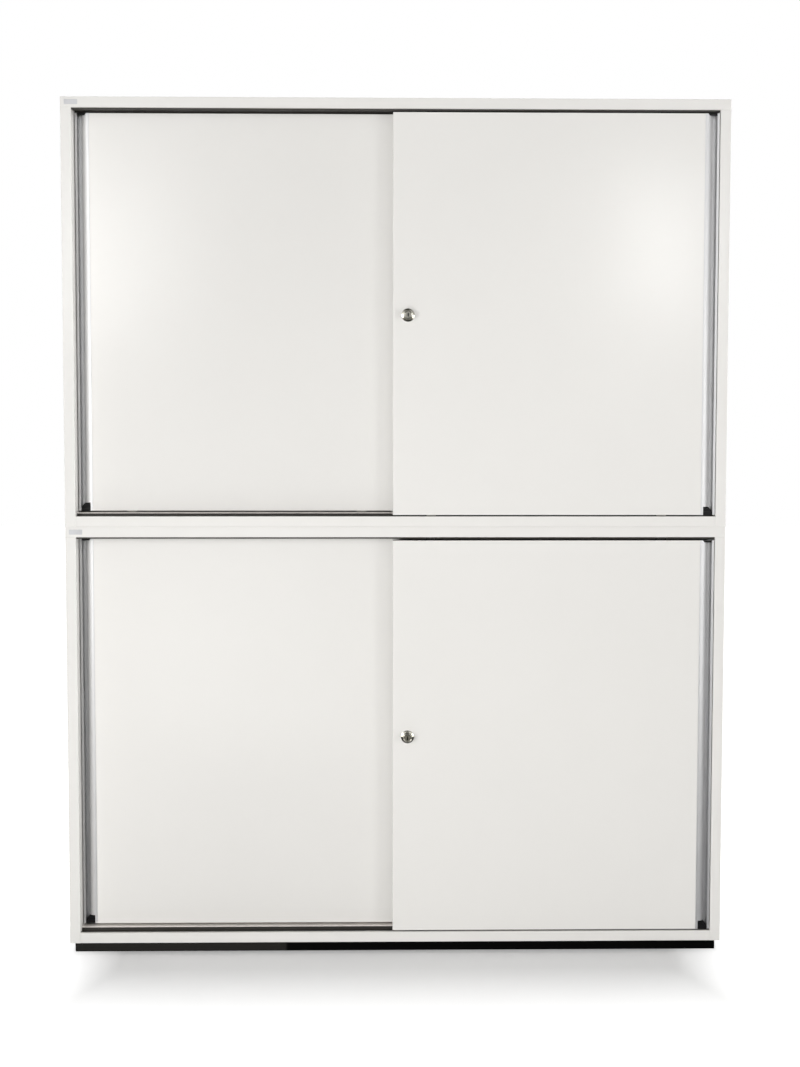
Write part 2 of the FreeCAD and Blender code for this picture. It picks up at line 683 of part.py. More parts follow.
def end_caps(tier, door):
    """Moulded caps that fill the grip's end notches. The lower one has a sloping outer corner."""
    width = "(grip_width - grip_lip - notch_side - 2*cap_gap)"
    if door == "front":
        left = f"{grip_left(door)} + tongue_length + notch_side + cap_gap"
        outline = (
            ("0", "0"),
            (width, "0"),
            (width, "bottom_notch - cap_chamfer_height"),
            (f"{width} - cap_chamfer_width", "bottom_notch"),
            ("0", "bottom_notch"),
        )
    else:
        left = f"{grip_left(door)} + grip_lip + cap_gap"
        outline = (
            ("0", "0"),
            (width, "0"),
            (width, "bottom_notch"),
            ("cap_chamfer_width", "bottom_notch"),
            ("0", "bottom_notch - cap_chamfer_height"),
        )
    y = f"{FACE[door]} + cap_inset"
    depth = "notch_depth - cap_inset - cap_gap"
    lower = doc.addObject("PartDesign::Body", f"{tier}_{door}_lower_cap")
    place(lower, left, y, door_low(tier, door))
    sketch = sketch_on(lower, "outline", "XZ")
    polygon(sketch, outline)
    pad(lower, "block", sketch, depth, backwards=True)
    z = f"{door_low(tier, door)} + {DOOR_HEIGHT[door]} - top_notch"
    upper = box(f"{tier}_{door}_upper_cap", (left, y, z), (width, depth, "top_notch"))
    group(f"{tier}_{door}_door_end_caps", (lower, upper))


def runner_housings(tier, door):
    """Moulded forks in the door's lower back corners, each with a stub axle for its roller."""
    forks = []
    for place_name, middle in runner_places(door).items():
        name = f"{tier}_{door}_{place_name}_runner"
        low = door_low(tier, door)
        back = f"{FACE[door]} + door_board - runner_depth"
        centre = f"{FACE[door]} + runner_centre"
        at = (f"{middle} - runner_length/2", back, low)
        block = box(f"{name}_block", at, ("runner_length", "runner_depth", "runner_height"))
        reach = "(roller_radius + fork_play)"
        at = (f"{middle} - {reach}", f"{centre} - fork_width/2", low)
        slot = box(f"{name}_slot", at, (f"2*{reach}", "fork_width", f"axle_height + {reach}"))
        at = (middle, f"{centre} - fork_width/2", f"{low} + axle_height")
        axle = rod(f"{name}_axle", at, "axle_radius", "fork_width", Y_AXIS)
        forks.append(fuse(f"{name}_fork", cut(f"{name}_cheeks", block, slot), axle))
    group(f"{tier}_{door}_door_runner_housings", forks)


def roller(tier, door, place_name):
    """A roller on its stub axle, turned about the body's own Y axis."""
    middle = runner_places(door)[place_name]
    y = f"{FACE[door]} + runner_centre - roller_width/2"
    z = f"{door_low(tier, door)} + axle_height"
    body = new_body(f"{tier}_{door}_door_{place_name}_roller", middle, y, z)
    sketch = sketch_on(body, "outline", "XY")
    shoulder = "roller_radius - roller_edge"
    polygon(
        sketch,
        (
            ("roller_bore", "0"),
            (shoulder, "0"),
            ("roller_radius", "roller_edge"),
            ("roller_radius", "roller_width - roller_edge"),
            (shoulder, "roller_width"),
            ("roller_bore", "roller_width"),
        ),
    )
    turned(body, "tread", sketch)


def turned(body, name, sketch):
    """Revolves a sketch once about its own vertical axis."""
    feature = body.newObject("PartDesign::Revolution", f"{body.Name}_{name}")
    feature.Profile = sketch
    feature.ReferenceAxis = (sketch, ["V_Axis"])
    feature.Angle = 360
    doc.recompute()


def top_guides(tier, door):
    """Moulded guides in the door's upper back corners, with a tongue in the top track's slot."""
    guides = []
    top = f"{door_low(tier, door)} + {DOOR_HEIGHT[door]}"
    for place_name, middle in runner_places(door).items():
        name = f"{tier}_{door}_{place_name}_guide"
        back = f"{FACE[door]} + door_board - runner_depth"
        at = (f"{middle} - guide_length/2", back, f"{top} - guide_height")
        block = box(f"{name}_block", at, ("guide_length", "runner_depth", "guide_height"))
        centre = f"{FACE[door]} + runner_centre"
        at = (f"{middle} - guide_tongue_length/2", f"{centre} - guide_tongue_width/2", top)
        size = ("guide_tongue_length", "guide_tongue_width", "guide_tongue_height")
        guides.append(fuse(name, block, box(f"{name}_tongue", at, size)))
    group(f"{tier}_{door}_door_top_guides", guides)


# ---- Locks ------------------------------------------------------------------------------------------


def lock_level(tier):
    """The height of a case's lock, at the middle of its front door."""
    return f"{door_low(tier, 'front')} + {DOOR_HEIGHT['front']}/2"


def lock_housing(tier):
    """The lock's rosette and barrel, in the front door."""
    body = new_body(
        f"{tier}_lock_housing", LOCK_X, f"{FACE['front']} - rosette_thick", lock_level(tier)
    )
    sketch = sketch_on(body, "outline", "XY")
    polygon(
        sketch,
        (
            ("plug_bore", "0"),
            ("rosette_radius - rosette_chamfer", "0"),
            ("rosette_radius", "rosette_chamfer"),
            ("rosette_radius", "rosette_thick"),
            ("barrel_radius", "rosette_thick"),
            ("barrel_radius", "rosette_thick + barrel_length"),
            ("plug_bore", "rosette_thick + barrel_length"),
        ),
    )
    turned(body, "barrel", sketch)


def lock_nut(tier):
    """The ring nut that clamps the barrel from behind the door."""
    at = (LOCK_X, f"{FACE['front']} + door_board", lock_level(tier))
    outer = rod(f"{tier}_nut_outer", at, "nut_radius", "nut_thick", Y_AXIS)
    inner = rod(f"{tier}_nut_inner", at, "barrel_radius", "nut_thick", Y_AXIS)
    node(cut(f"{tier}_lock_nut", outer, inner), f"{tier}_lock_nut")


def lock_plug(tier):
    """The push cylinder, standing out as it does unlocked. Its inner end is the bolt."""
    body = new_body(f"{tier}_lock_plug", LOCK_X, f"{FACE['front']} - plug_stand", lock_level(tier))
    sketch = sketch_on(body, "outline", "XZ")
    circle(sketch, "0", "0", "plug_radius")
    pad(body, "cylinder", sketch, "plug_stand + barrel_length", backwards=True)
    rims = [
        f"Edge{number}"
        for number, edge in enumerate(body.Tip.Shape.Edges, start=1)
        if edge.Closed and edge.CenterOfMass.y < SAME
    ]
    soften(body, "rim", "Chamfer", "plug_chamfer", rims)
    sketch = sketch_on(body, "key", "XZ")
    half_width, half_height = "key_slot_width/2", "key_slot_height/2"
    rectangle(sketch, f"-{half_width}", half_width, f"-{half_height}", half_height)
    pocket(body, "key_slot", sketch, "key_slot_depth")


def lock_keeper(tier):
    """A steel angle on the rear door's face. Its lug stands beside the bolt when that is pushed in."""
    right = "door_overlap/2 + keeper_out"
    low = f"{lock_level(tier)} - keeper_height/2"
    at = (f"{right} - keeper_width", f"{FACE['rear']} - keeper_sheet", low)
    plate = box(f"{tier}_keeper_plate", at, ("keeper_width", "keeper_sheet", "keeper_height"))
    low = f"{lock_level(tier)} - keeper_lug_height/2"
    at = (f"{right} - keeper_lug", f"{FACE['rear']} - keeper_reach", low)
    lug = box(f"{tier}_keeper_lug", at, ("keeper_lug", "keeper_reach", "keeper_lug_height"))
    node(fuse(f"{tier}_lock_keeper", plate, lug), f"{tier}_lock_keeper")


# ---- Plinth, joining bolts and blank plates ---------------------------------------------------------


def plinth():
    """A frame of folded steel channel, open below, set back all round under the lower case."""
    width = "(case_width - 2*plinth_side_inset)"
    depth = "(case_depth - plinth_front_inset - plinth_back_inset)"
    body = new_body("plinth_frame", f"-{width}/2", f"{FRONT} + plinth_front_inset", "0")

    def ring(sketch, inset):
        """A rectangle as wide as the plinth less inset all round."""
        rectangle(sketch, inset, f"{width} - ({inset})", inset, f"{depth} - ({inset})")

    sketch = sketch_on(body, "outline", "XY")
    ring(sketch, "0")
    pad(body, "block", sketch, "plinth_height")
    soften(body, "corners", "Fillet", "plinth_corner", edges_along(body.Tip.Shape, Z_AXIS, lambda middle: True))
    sketch = sketch_on(body, "middle", "XY")
    ring(sketch, "plinth_rail")
    pocket(body, "opening", sketch, "plinth_height", backwards=True)
    sketch = sketch_on(body, "channel", "XY")
    ring(sketch, "plinth_sheet")
    ring(sketch, "plinth_rail - plinth_sheet")
    pocket(body, "fold", sketch, "plinth_height - plinth_sheet", backwards=True)


def joining_bolts():
    """Sleeve bolts through the lower case's top panel and the upper case's bottom panel."""
    bolts = []
    seam = BASE["upper"]
    for side in ("-bolt_side", "bolt_side"):
        for back in ("bolt_front", "bolt_back"):
            name = f"bolt_{len(bolts)}"
            y = f"{FRONT} + {back}"
            low = f"{seam} - board - bolt_head_thick"
            shank = rod(f"{name}_shank", (side, y, f"{seam} - board"), "bolt_radius", "2*board", Z_AXIS)
            foot = rod(f"{name}_foot", (side, y, low), "bolt_head", "bolt_head_thick", Z_AXIS)
            head_at = (side, y, f"{seam} + board")
            head = rod(f"{name}_head", head_at, "bolt_head", "bolt_head_thick", Z_AXIS)
            bolts.append(fuse(name, shank, foot, head))
    group("joining_bolts", bolts)


def blank_plates():
    """Thin blank plates on the front edges of the top panels."""
    plates = []
    for tier in TIERS:
        z = f"{BASE[tier]} + case_height - plate_drop - plate_height"
        at = ("plate_side - case_width/2", f"{FRONT} - plate_thick", z)
        plates.append(box(f"{tier}_plate", at, ("plate_width", "plate_thick", "plate_height")))
    group("blank_plates", plates)


# ---- Build, check and write -------------------------------------------------------------------------


def build():
    """Makes every piece."""
    plinth()
    for tier in TIERS:
        bottom_panel(tier)
        side_panel(tier, "left")
        side_panel(tier, "right")
        top_panel(tier)
        back_panel(tier)
        partition(tier)
        shelf(tier, "left")
        shelf(tier, "right")
        top_track(tier)
        bottom_track(tier)
        for door in DOORS:
            door_panel(tier, door)
            grip(tier, door)
            end_caps(tier, door)
            runner_housings(tier, door)
            roller(tier, door, "inner")
            roller(tier, door, "outer")
            top_guides(tier, door)
        lock_housing(tier)
        lock_nut(tier)
        lock_plug(tier)
        lock_keeper(tier)
    shelf_pins()
    joining_bolts()
    blank_plates()
    doc.recompute()


def check():
    """Stops on any object that failed and on any piece without a valid shape."""
    for thing in doc.Objects:
        if {"Invalid", "Error"} & set(thing.State):
            raise RuntimeError(f"{thing.Name} is {thing.State}")
    for thing in nodes:
        if thing.Shape.isNull() or not thing.Shape.isValid() or thing.Shape.Volume <= 0:
            raise RuntimeError(f"{thing.Label} has no valid shape")


def write():
    """Writes each piece to parts/ under its own name."""
    os.makedirs("parts", exist_ok=True)
    for thing in nodes:
        thing.Shape.exportStep(f"parts/{thing.Label}.step")
        print(f"{thing.Label}: {len(thing.Shape.Solids)} solid(s), {thing.Shape.Volume / 1000:.2f} cm3")
    print(f"{len(nodes)} pieces")


build()
check()
write()
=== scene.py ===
"""Dresses the sliding door cabinet: board finishes, aluminium profiles, caps, runners, locks and a studio.

Metres. +Z is up, the doors face -Y, +X is to the right of someone facing them, and the origin is the
middle of the footprint, on the floor.
"""

import math
from functools import cache

import bmesh
import bpy
from bpy.props import FloatProperty, FloatVectorProperty, PointerProperty
from mathutils import Matrix, Vector


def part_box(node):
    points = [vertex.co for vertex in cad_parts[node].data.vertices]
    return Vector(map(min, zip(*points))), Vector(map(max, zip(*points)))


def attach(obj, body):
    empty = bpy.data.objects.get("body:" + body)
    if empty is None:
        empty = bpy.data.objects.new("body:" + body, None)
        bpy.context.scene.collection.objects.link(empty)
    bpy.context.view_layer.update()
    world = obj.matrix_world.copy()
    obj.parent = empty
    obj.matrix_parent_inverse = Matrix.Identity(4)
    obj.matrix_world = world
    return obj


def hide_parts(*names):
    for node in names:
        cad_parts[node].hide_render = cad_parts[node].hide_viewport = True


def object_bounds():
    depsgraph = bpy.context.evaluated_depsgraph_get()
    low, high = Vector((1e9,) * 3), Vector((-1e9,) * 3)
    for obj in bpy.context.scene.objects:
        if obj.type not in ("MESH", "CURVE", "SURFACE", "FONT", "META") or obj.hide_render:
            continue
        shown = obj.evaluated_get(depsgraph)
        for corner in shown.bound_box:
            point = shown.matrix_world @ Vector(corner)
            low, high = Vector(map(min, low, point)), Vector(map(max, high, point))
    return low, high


bl_info = {
    "name": "Sliding Door Cabinet",
    "version": (1, 0, 0),
    "blender": (4, 5, 0),
    "location": "3D View > Sidebar > Cabinet",
    "description": "Dresses the cabinet's frame with its finishes, profiles, runners and locks",
    "category": "Object",
}

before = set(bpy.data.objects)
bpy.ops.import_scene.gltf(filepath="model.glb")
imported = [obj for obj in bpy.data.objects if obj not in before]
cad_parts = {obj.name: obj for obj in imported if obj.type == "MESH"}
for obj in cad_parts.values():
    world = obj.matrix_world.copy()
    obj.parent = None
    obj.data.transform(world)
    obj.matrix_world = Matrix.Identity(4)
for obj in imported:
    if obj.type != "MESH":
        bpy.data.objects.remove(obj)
CAD_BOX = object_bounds()

TIERS = ("lower", "upper")
DOORS = [(tier, door) for tier in TIERS for door in ("front", "rear")]
X, Y, Z = Vector((1, 0, 0)), Vector((0, 1, 0)), Vector((0, 0, 1))
DOOR_ENDS = ("inner", "outer")
CASE_BOARDS = (
    "bottom_panel", "left_panel", "right_panel", "top_panel", "back_panel",
    "partition", "left_shelf", "right_shelf",
)
WHITE = (1.0, 1.0, 1.0)
SAME = 1e-6  # points nearer than this are one
SHARP = math.radians(35)  # edges that turn by more stay sharp
ARC = 0.5  # the bevel profile that is an arc
EDGE_STEPS = 2  # steps across a rounded edge, unless a piece has its own
TURNS = 64  # steps round a turned piece
FINE = 0.002  # rounded corners below this radius have FINE_STEPS steps, and others WIDE_STEPS
FINE_STEPS, WIDE_STEPS = 4, 16
ROUND = 24  # steps round a pin, a screw or a bolt's shank
AXLE_ROUND = 32  # steps round an axle
BOLT_ROUND, BOLT_EDGE_STEPS = 40, 4  # steps round a bolt's head, and across its domed edge
HEXAGON = 6
PLATE_CORNER_STEPS = 5
TONGUE_STEPS = 4  # steps across a guide's rounded edges
PAST = 0.001  # how far a cutter reaches past its stock
RUNNER_HALF = 0.022  # half the length of a runner housing
PIN_FRONT, PIN_BACK = 0.110, 0.390  # a side panel's front edge to its rows of holes
BOLT_HEAD_RADIUS = 0.0075
PLATE_HEIGHT = 0.009


# ---- Settings ---------------------------------------------------------------------------------------


def length(name, description, default):
    """A setting that is a length."""
    return FloatProperty(name=name, description=description, default=default, unit="LENGTH", precision=5)


def colour(name, description, default):
    """A setting that is a colour."""
    return FloatVectorProperty(
        name=name, description=description, default=default, subtype="COLOR", size=3, min=0, max=1
    )


def share(name, description, default):
    """A setting from 0 to 1."""
    limits = {"subtype": "FACTOR", "min": 0, "max": 1}
    return FloatProperty(name=name, description=description, default=default, **limits)


def level(name, description, default):
    """A setting that is a level of light, where 1 is white."""
    return FloatProperty(name=name, description=description, default=default)


def power(name, description, default):
    """A setting that is a lamp's power."""
    return FloatProperty(name=name, description=description, default=default, unit="POWER")


def place(name, description, default):
    """A setting that is a place."""
    return FloatVectorProperty(name=name, description=description, default=default, subtype="TRANSLATION")


def extent(name, description, default):
    """A setting that is a width and a height."""
    return FloatVectorProperty(name=name, description=description, default=default, size=2, unit="LENGTH")


class CabinetFinish(bpy.types.PropertyGroup):
    """Colours and gloss of the finishes."""

    melamine: colour("Melamine", "Face of the boards", (0.810, 0.795, 0.765))
    band: colour("Edge band", "Band on the boards' edges", (0.780, 0.765, 0.735))
    chipboard: colour("Chipboard", "Core of the boards in holes and grooves", (0.42, 0.29, 0.17))
    aluminium: colour("Aluminium", "Anodised grip profiles", (0.72, 0.72, 0.725))
    rail: colour("Rail", "Bottom tracks", (0.92, 0.87, 0.82))
    black_plastic: colour("Black plastic", "End caps, housings and guides", (0.008, 0.008, 0.0085))
    roller: colour("Roller", "Rollers", (0.66, 0.64, 0.58))
    # On the slot liners this dark colour stands in for painted shade.
    dark_track: colour("Dark track", "Top tracks and slot liners", (0.032, 0.029, 0.024))
    chrome: colour("Chrome", "Locks", (0.56, 0.545, 0.48))
    zinc: colour("Zinc", "Pins, bolts and keepers", (0.56, 0.57, 0.58))
    powder: colour("Powder coat", "Plinth", (0.0015, 0.0015, 0.0015))
    # The plinth's greyer length is a painted sheen, a reflection painted into the coat's colour.
    painted_sheen_powder: colour("Painted sheen on the powder coat", "The plinth's greyer length", (0.021, 0.020, 0.018))
    plate: colour("Blank plate", "Blank plates on the top panels", (0.62, 0.62, 0.63))
    melamine_roughness: share("Melamine roughness", "Gloss of the boards", 0.18)
    aluminium_roughness: share("Aluminium roughness", "Gloss of the grip profiles", 0.50)
    chrome_roughness: share("Chrome roughness", "Gloss of the locks", 0.10)
    band_width: length("Band thickness", "Thickness of the edge band", 0.001)
    powder_joint: length("Powder coat joint", "Middle of the plinth to its greyer length", -0.2025)


class CabinetGrip(bpy.types.PropertyGroup):
    """Section of the grip profiles and their end caps."""

    mouth: length("Mouth", "Board to the finger recess", 0.0138)
    shoulder: length("Shoulder", "Board to the slope of the rounded side", 0.0082)
    slope: length("Slope", "Depth at which the rounded side drops into the recess", 0.0047)
    roll: length("Roll", "Radius of the rounded side", 0.0165)
    mouth_edge: length("Mouth edge", "Radius at the mouth of the recess", 0.0004)
    recess: length("Recess", "Depth of the finger recess", 0.0160)
    corner: length("Corner", "Radius in the recess beside the board", 0.0012)
    lip: length("Lip", "Width of the outer lip", 0.0030)
    lip_edge: length("Lip edge", "Radius of the lip's edges", 0.0007)
    bead: length("Bead", "Width of the bead in front of the lip's outer side", 0.0013)
    bead_depth: length("Bead depth", "Depth of that bead", 0.0035)
    seam: length("Seam", "Radius of the profile's edge beside the board", 0.0004)
    tongue: length("Tongue", "Length of the tongue in the board", 0.0065)
    tongue_front: length("Tongue front", "Door face to the tongue", 0.008)
    tongue_back: length("Tongue back", "Door face to the back of the tongue", 0.010)
    notch_side: length("Notch side", "Board to an end notch", 0.0045)
    notch_depth: length("Notch depth", "Depth of an end notch", 0.0166)
    bottom_notch: length("Bottom notch", "Height of the lower end notch", 0.015)
    top_notch: length("Top notch", "Height of the upper end notch", 0.0038)
    top_depth: length("Top notch depth", "Depth of the upper end notch", 0.0045)
    slant: length("Slant", "Width of the upper notch's slanting side", 0.0036)
    cap_gap: length("Cap gap", "Clearance around an end cap", 0.0001)
    cap_inset: length("Cap inset", "Door face to an end cap", 0.0006)
    cap_slope_width: length("Slope width", "Width of the lower cap's sloping corner", 0.0065)
    cap_slope_height: length("Slope height", "Height of the lower cap's sloping corner", 0.0085)
    cap_round: length("Cap rounding", "Radius at the ends of the cap's slope", 0.0028)
    cap_edge: length("Cap edge", "Radius of the caps' edges", 0.0004)
    ledge: length("Ledge", "Depth of the ledges in a lower cap's face", 0.0014)
    ledge_low: length("Low ledge", "Height of the lower ledge", 0.0058)
    ledge_high: length("High ledge", "Height of the upper ledge", 0.0112)


class CabinetTrack(bpy.types.PropertyGroup):
    """Sections of the tracks."""

    wall: length("Wall", "Outer wall of a track beside its slot", 0.004)
    slot: length("Slot", "Width of a slot", 0.008)
    pitch: length("Pitch", "Front slot to rear slot", 0.032)
    top_slot: length("Top slot", "Depth of a slot in the top track", 0.0075)
    web: length("Web", "Wall between a slot of the top track and its hollow", 0.0022)
    lip: length("Lip", "Height of the slot liner's front lip", 0.0053)
    liner_back: length("Liner back", "Height of the slot liner's back", 0.0095)
    liner_sheet: length("Liner sheet", "Thickness of the slot liner's back above its step", 0.0009)
    liner_step: length("Liner step", "Height of the slot liner under the front door's back", 0.0070)
    front_floor: length("Front floor", "Floor under the front slot", 0.0013)
    rear_floor: length("Rear floor", "Floor under the rear slot", 0.0073)
    rib_front: length("Rib front", "Front of the bottom track to its rib", 0.0145)
    edge: length("Edge", "Radius of the tracks' edges", 0.0005)


class CabinetRunner(bpy.types.PropertyGroup):
    """Rollers, housings and guides."""

    bore: length("Bore", "Radius of a roller's bore", 0.00205)
    hub: length("Hub", "Radius of a roller's hub", 0.0042)
    web: length("Web", "Inner radius of a roller's rim", 0.0076)
    dish: length("Dish", "Depth of a roller's dished sides", 0.0011)
    axle: length("Axle", "Radius of a stub axle", 0.002)
    axle_height: length("Axle height", "Lower edge of the housing to its axle", 0.004)
    fork: length("Fork", "Slot of a housing around its roller", 0.007)
    fork_reach: length("Fork reach", "Half the length of a housing's slot", 0.011)
    tongue_length: length("Tongue length", "Length of a guide's tongue", 0.020)
    tongue_height: length("Tongue height", "Guide's tongue above the door", 0.006)
    tongue_width: length("Tongue width", "Width of a guide's tongue", 0.006)
    tongue_back: length("Tongue back", "Back of a guide to its tongue", 0.002)
    edge: length("Edge", "Radius of the moulded edges", 0.0006)
    axle_seat: length("Axle seat", "Length of an axle's end in its housing", 0.0003)
    pocket: length("Pocket", "Half the width of a hollow in a housing's back", 0.003)
    pocket_depth: length("Pocket depth", "Depth of that hollow", 0.004)
    tongue_root: length("Tongue root", "Length of a guide's tongue in its block", 0.0005)


class CabinetLock(bpy.types.PropertyGroup):
    """Push locks and their keepers."""

    rosette_edge: length("Rosette edge", "Radius of the rosette's edges", 0.0004)
    rosette_rim: length("Rosette rim", "Height of the rosette's rim", 0.0006)
    crown: length("Crown", "Radius where the rosette starts to slope", 0.0087)
    rosette: length("Rosette", "Thickness of the rosette", 0.002)
    barrel: length("Barrel", "Radius of the barrel", 0.0095)
    bore: length("Bore", "Radius of the barrel's bore", 0.0081)
    rim: length("Rim", "Width of the rim round the cylinder's face", 0.0009)
    core_drop: length("Core drop", "Face of the core behind the rim", 0.0007)
    core: length("Core", "Radius of the key core", 0.0052)
    groove: length("Groove", "Width of the groove round the core", 0.0004)
    rim_edge: length("Rim edge", "Radius of the rim's edge", 0.0007)
    key_width: length("Key width", "Width of the key slot", 0.002)
    key_height: length("Key height", "Height of the key slot", 0.0070)
    key_depth: length("Key depth", "Depth of the key slot", 0.009)
    groove_depth: length("Groove depth", "Depth of the groove round the core", 0.0006)
    thin_edge: length("Thin edge", "Radius of the thinnest edges", 0.0001)
    fine_edge: length("Fine edge", "Radius of the core's and the rim's inner edges", 0.0002)
    end_edge: length("End edge", "Radius at the end of the barrel and on the nut", 0.0004)
    nut_bore_edge: length("Nut bore edge", "Radius at the back of the nut's bore", 0.0003)
    nut_notch: length("Nut notch", "Width of the nut's notches", 0.003)
    nut_notch_depth: length("Nut notch depth", "Depth of the nut's notches", 0.0015)
    keeper_sheet: length("Keeper sheet", "Thickness of the keeper's plate", 0.002)
    keeper_lug: length("Keeper lug", "Thickness of the keeper's lug", 0.003)
    keeper_lug_height: length("Lug height", "Height of the keeper's lug", 0.024)
    keeper_bend: length("Keeper bend", "Radius of the keeper's bend", 0.0015)
    keeper_hollow: length("Keeper hollow", "Radius in the keeper's bend", 0.0008)
    keeper_edge: length("Keeper edge", "Radius of the keeper's edges", 0.0003)
    keeper_screw: share("Keeper screw", "Share of the plate's width at which its screws sit", 0.42)
    keeper_screw_end: length("Keeper screw end", "End of the keeper's plate to a screw", 0.0055)


class CabinetFixings(bpy.types.PropertyGroup):
    """Pins, bolts, screws and plates."""

    pin: length("Pin", "Radius of a shelf pin", 0.0025)
    pin_collar: length("Collar", "Radius of a shelf pin's collar", 0.004)
    pin_collar_width: length("Collar width", "Width of a shelf pin's collar", 0.0012)
    pin_in_wall: length("Pin in wall", "Length of a shelf pin in its hole", 0.008)
    pin_end: length("Pin end", "Radius of the edges at a pin's ends", 0.0006)
    collar_edge: length("Collar edge", "Radius of a collar's edges", 0.0003)
    bolt: length("Bolt", "Radius of a joining bolt", 0.0033)
    bolt_head: length("Bolt head", "Thickness of a joining bolt's head", 0.0025)
    bolt_edge: length("Bolt edge", "Radius of a joining bolt's domed edges", 0.0009)
    socket: length("Socket", "Radius of the bolt's hexagon socket", 0.0023)
    socket_depth: length("Socket depth", "Depth of that socket", 0.0018)
    screw: length("Screw", "Radius of a screw's head", 0.0028)
    screw_height: length("Screw height", "Height of a screw's head", 0.0011)
    screw_edge: length("Screw edge", "Radius of a screw head's edges", 0.0005)
    screw_slot: length("Screw slot", "Width of a screw's cross", 0.0009)
    screw_floor: length("Screw floor", "Foot of a screw's head to its cross", 0.0006)
    screw_reach: share("Screw reach", "Share of the head's radius that the cross reaches", 0.62)
    plate_corner: length("Plate corner", "Radius of a blank plate's corners", 0.0012)
    plate_edge: length("Plate edge", "Radius of a blank plate's edges", 0.00018)


class CabinetStudio(bpy.types.PropertyGroup):
    """Camera, lamps, floor and surroundings."""

    camera_place: place("Camera place", "Where the camera stands", (-0.0516, -3.3149, 0.985))
    camera_turn: FloatVectorProperty(
        name="Camera turn", description="How the camera is turned", subtype="EULER",
        default=(math.radians(86.101), math.radians(-0.061), math.radians(-1.069)),
    )
    camera_lens: FloatProperty(
        name="Lens", description="Focal length on a 36 mm sensor", default=57.66, subtype="DISTANCE_CAMERA"
    )
    left_lamp: place("Left lamp", "Where the left lamp stands", (-2.9, -4.1, 0.8))
    left_size: extent("Left lamp size", "Size of the left lamp", (1.8, 2.2))
    left_power: power("Left power", "Power of the left lamp", 84)
    right_lamp: place("Right lamp", "Where the right lamp stands", (2.6, -2.95, 0.5))
    right_size: extent("Right lamp size", "Size of the right lamp", (1.05, 1.8))
    right_power: power("Right power", "Power of the right lamp", 29)
    side_lamp: place("Side lamp", "Where the lamp that grazes the doors stands", (20.0, -1.42, 0.75))
    side_size: extent("Side lamp size", "Size of the side lamp", (1.5, 5.0))
    side_power: power("Side power", "Power of the side lamp", 2900)
    low_lamp: place("Low lamp", "Where the lamp that fills the lower doors stands", (-0.4, -2.1, 0.3))
    low_size: extent("Low lamp size", "Size of the low lamp", (0.7, 0.5))
    low_power: power("Low power", "Power of the low lamp", 8.3)
    near_lamp: place("Near lamp", "Where the right near lamp stands", (0.95, -3.0, 1.56))
    near_size: extent("Near lamp size", "Size of a near lamp", (0.26, 0.52))
    near_power: power("Near power", "Power of a near lamp", 2.8)
    top_lamp: place("Top lamp", "The cabinet's top to the top lamp", (0, 0.5, 2.1))
    top_size: extent("Top lamp size", "Size of the top lamp", (3.2, 1.6))
    top_power: power("Top power", "Power of the top lamp", 58)
    behind: level("Behind", "Light from behind the cabinet", 0.8)
    ambient: level("Ambient", "Light from all round", 0.02)
    fill: level("Fill", "Light from in front and to the left", 3.6)
    right_share: share("Right share", "Share of that light that also comes from the right", 0.02)
    room: level("Room", "What metal shows of the room in front", 0.54)
    boxes: level("Soft boxes", "What metal shows at either hand", 1.4)
    walls: level("Walls", "What metal shows on the far right", 0.10)
    lift: level("Floor lift", "Light added to the floor where it is seen", 0.17)
    floor: length("Floor", "Half the width of the floor", 12)


SETTINGS = {
    "cabinet_finish": CabinetFinish,
    "cabinet_grip": CabinetGrip,
    "cabinet_track": CabinetTrack,
    "cabinet_runner": CabinetRunner,
    "cabinet_lock": CabinetLock,
    "cabinet_fixings": CabinetFixings,
    "cabinet_studio": CabinetStudio,
}


# ---- Solids -----------------------------------------------------------------------------------------


def moved_verts(result):
    """The vertices in an operator's result."""
    return [part for part in result["geom"] if isinstance(part, bmesh.types.BMVert)]


def block(low, high):
    """A box between two corners."""
    bm = bmesh.new()
    bmesh.ops.create_cube(bm, size=1)
    bmesh.ops.scale(bm, vec=high - low, verts=bm.verts)
    bmesh.ops.translate(bm, vec=(low + high) / 2, verts=bm.verts)
    return bm


def section(corners, across, up, start):
    """A flat face through (across, up, radius) corners, each rounded to its radius."""
    bm = bmesh.new()
    made = [(bm.verts.new(start + across * a + up * b), radius) for a, b, radius in corners]
    bm.faces.new([vertex for vertex, _ in made])
    for radius in sorted({radius for _, radius in made if radius}):
        bmesh.ops.bevel(
            bm,
            geom=[vertex for vertex, own in made if own == radius],
            offset=radius,
            offset_type="OFFSET",
            segments=FINE_STEPS if radius < FINE else WIDE_STEPS,
            profile=ARC,
            affect="VERTICES",
            material=-1,
        )
    return bm


def bar(corners, across, up, start, push):
    """A closed bar whose section is given by corners and which runs along push."""
    bm = section(corners, across, up, start)
    pushed = bmesh.ops.extrude_face_region(bm, geom=bm.faces[:])
    bmesh.ops.translate(bm, vec=push, verts=moved_verts(pushed))
    return bm


def turned(corners, centre, axis, side):
    """A solid turned about axis: corners are (distance out, distance along, radius)."""
    bm = section(corners, side, axis, centre)
    bmesh.ops.delete(bm, geom=bm.faces[:], context="FACES_ONLY")
    on_axis = [edge for edge in bm.edges if all(abs((v.co - centre).dot(side)) < SAME for v in edge.verts)]
    bmesh.ops.delete(bm, geom=on_axis, context="EDGES")
    wire = bm.verts[:] + bm.edges[:]
    bmesh.ops.spin(bm, geom=wire, cent=centre, axis=axis, angle=math.tau, steps=TURNS, use_merge=True)
    bmesh.ops.remove_doubles(bm, verts=bm.verts, dist=SAME)
    return bm


def spanned(*points):
    """The lowest and highest corners of the box round the points."""
    return Vector(map(min, zip(*points))), Vector(map(max, zip(*points)))


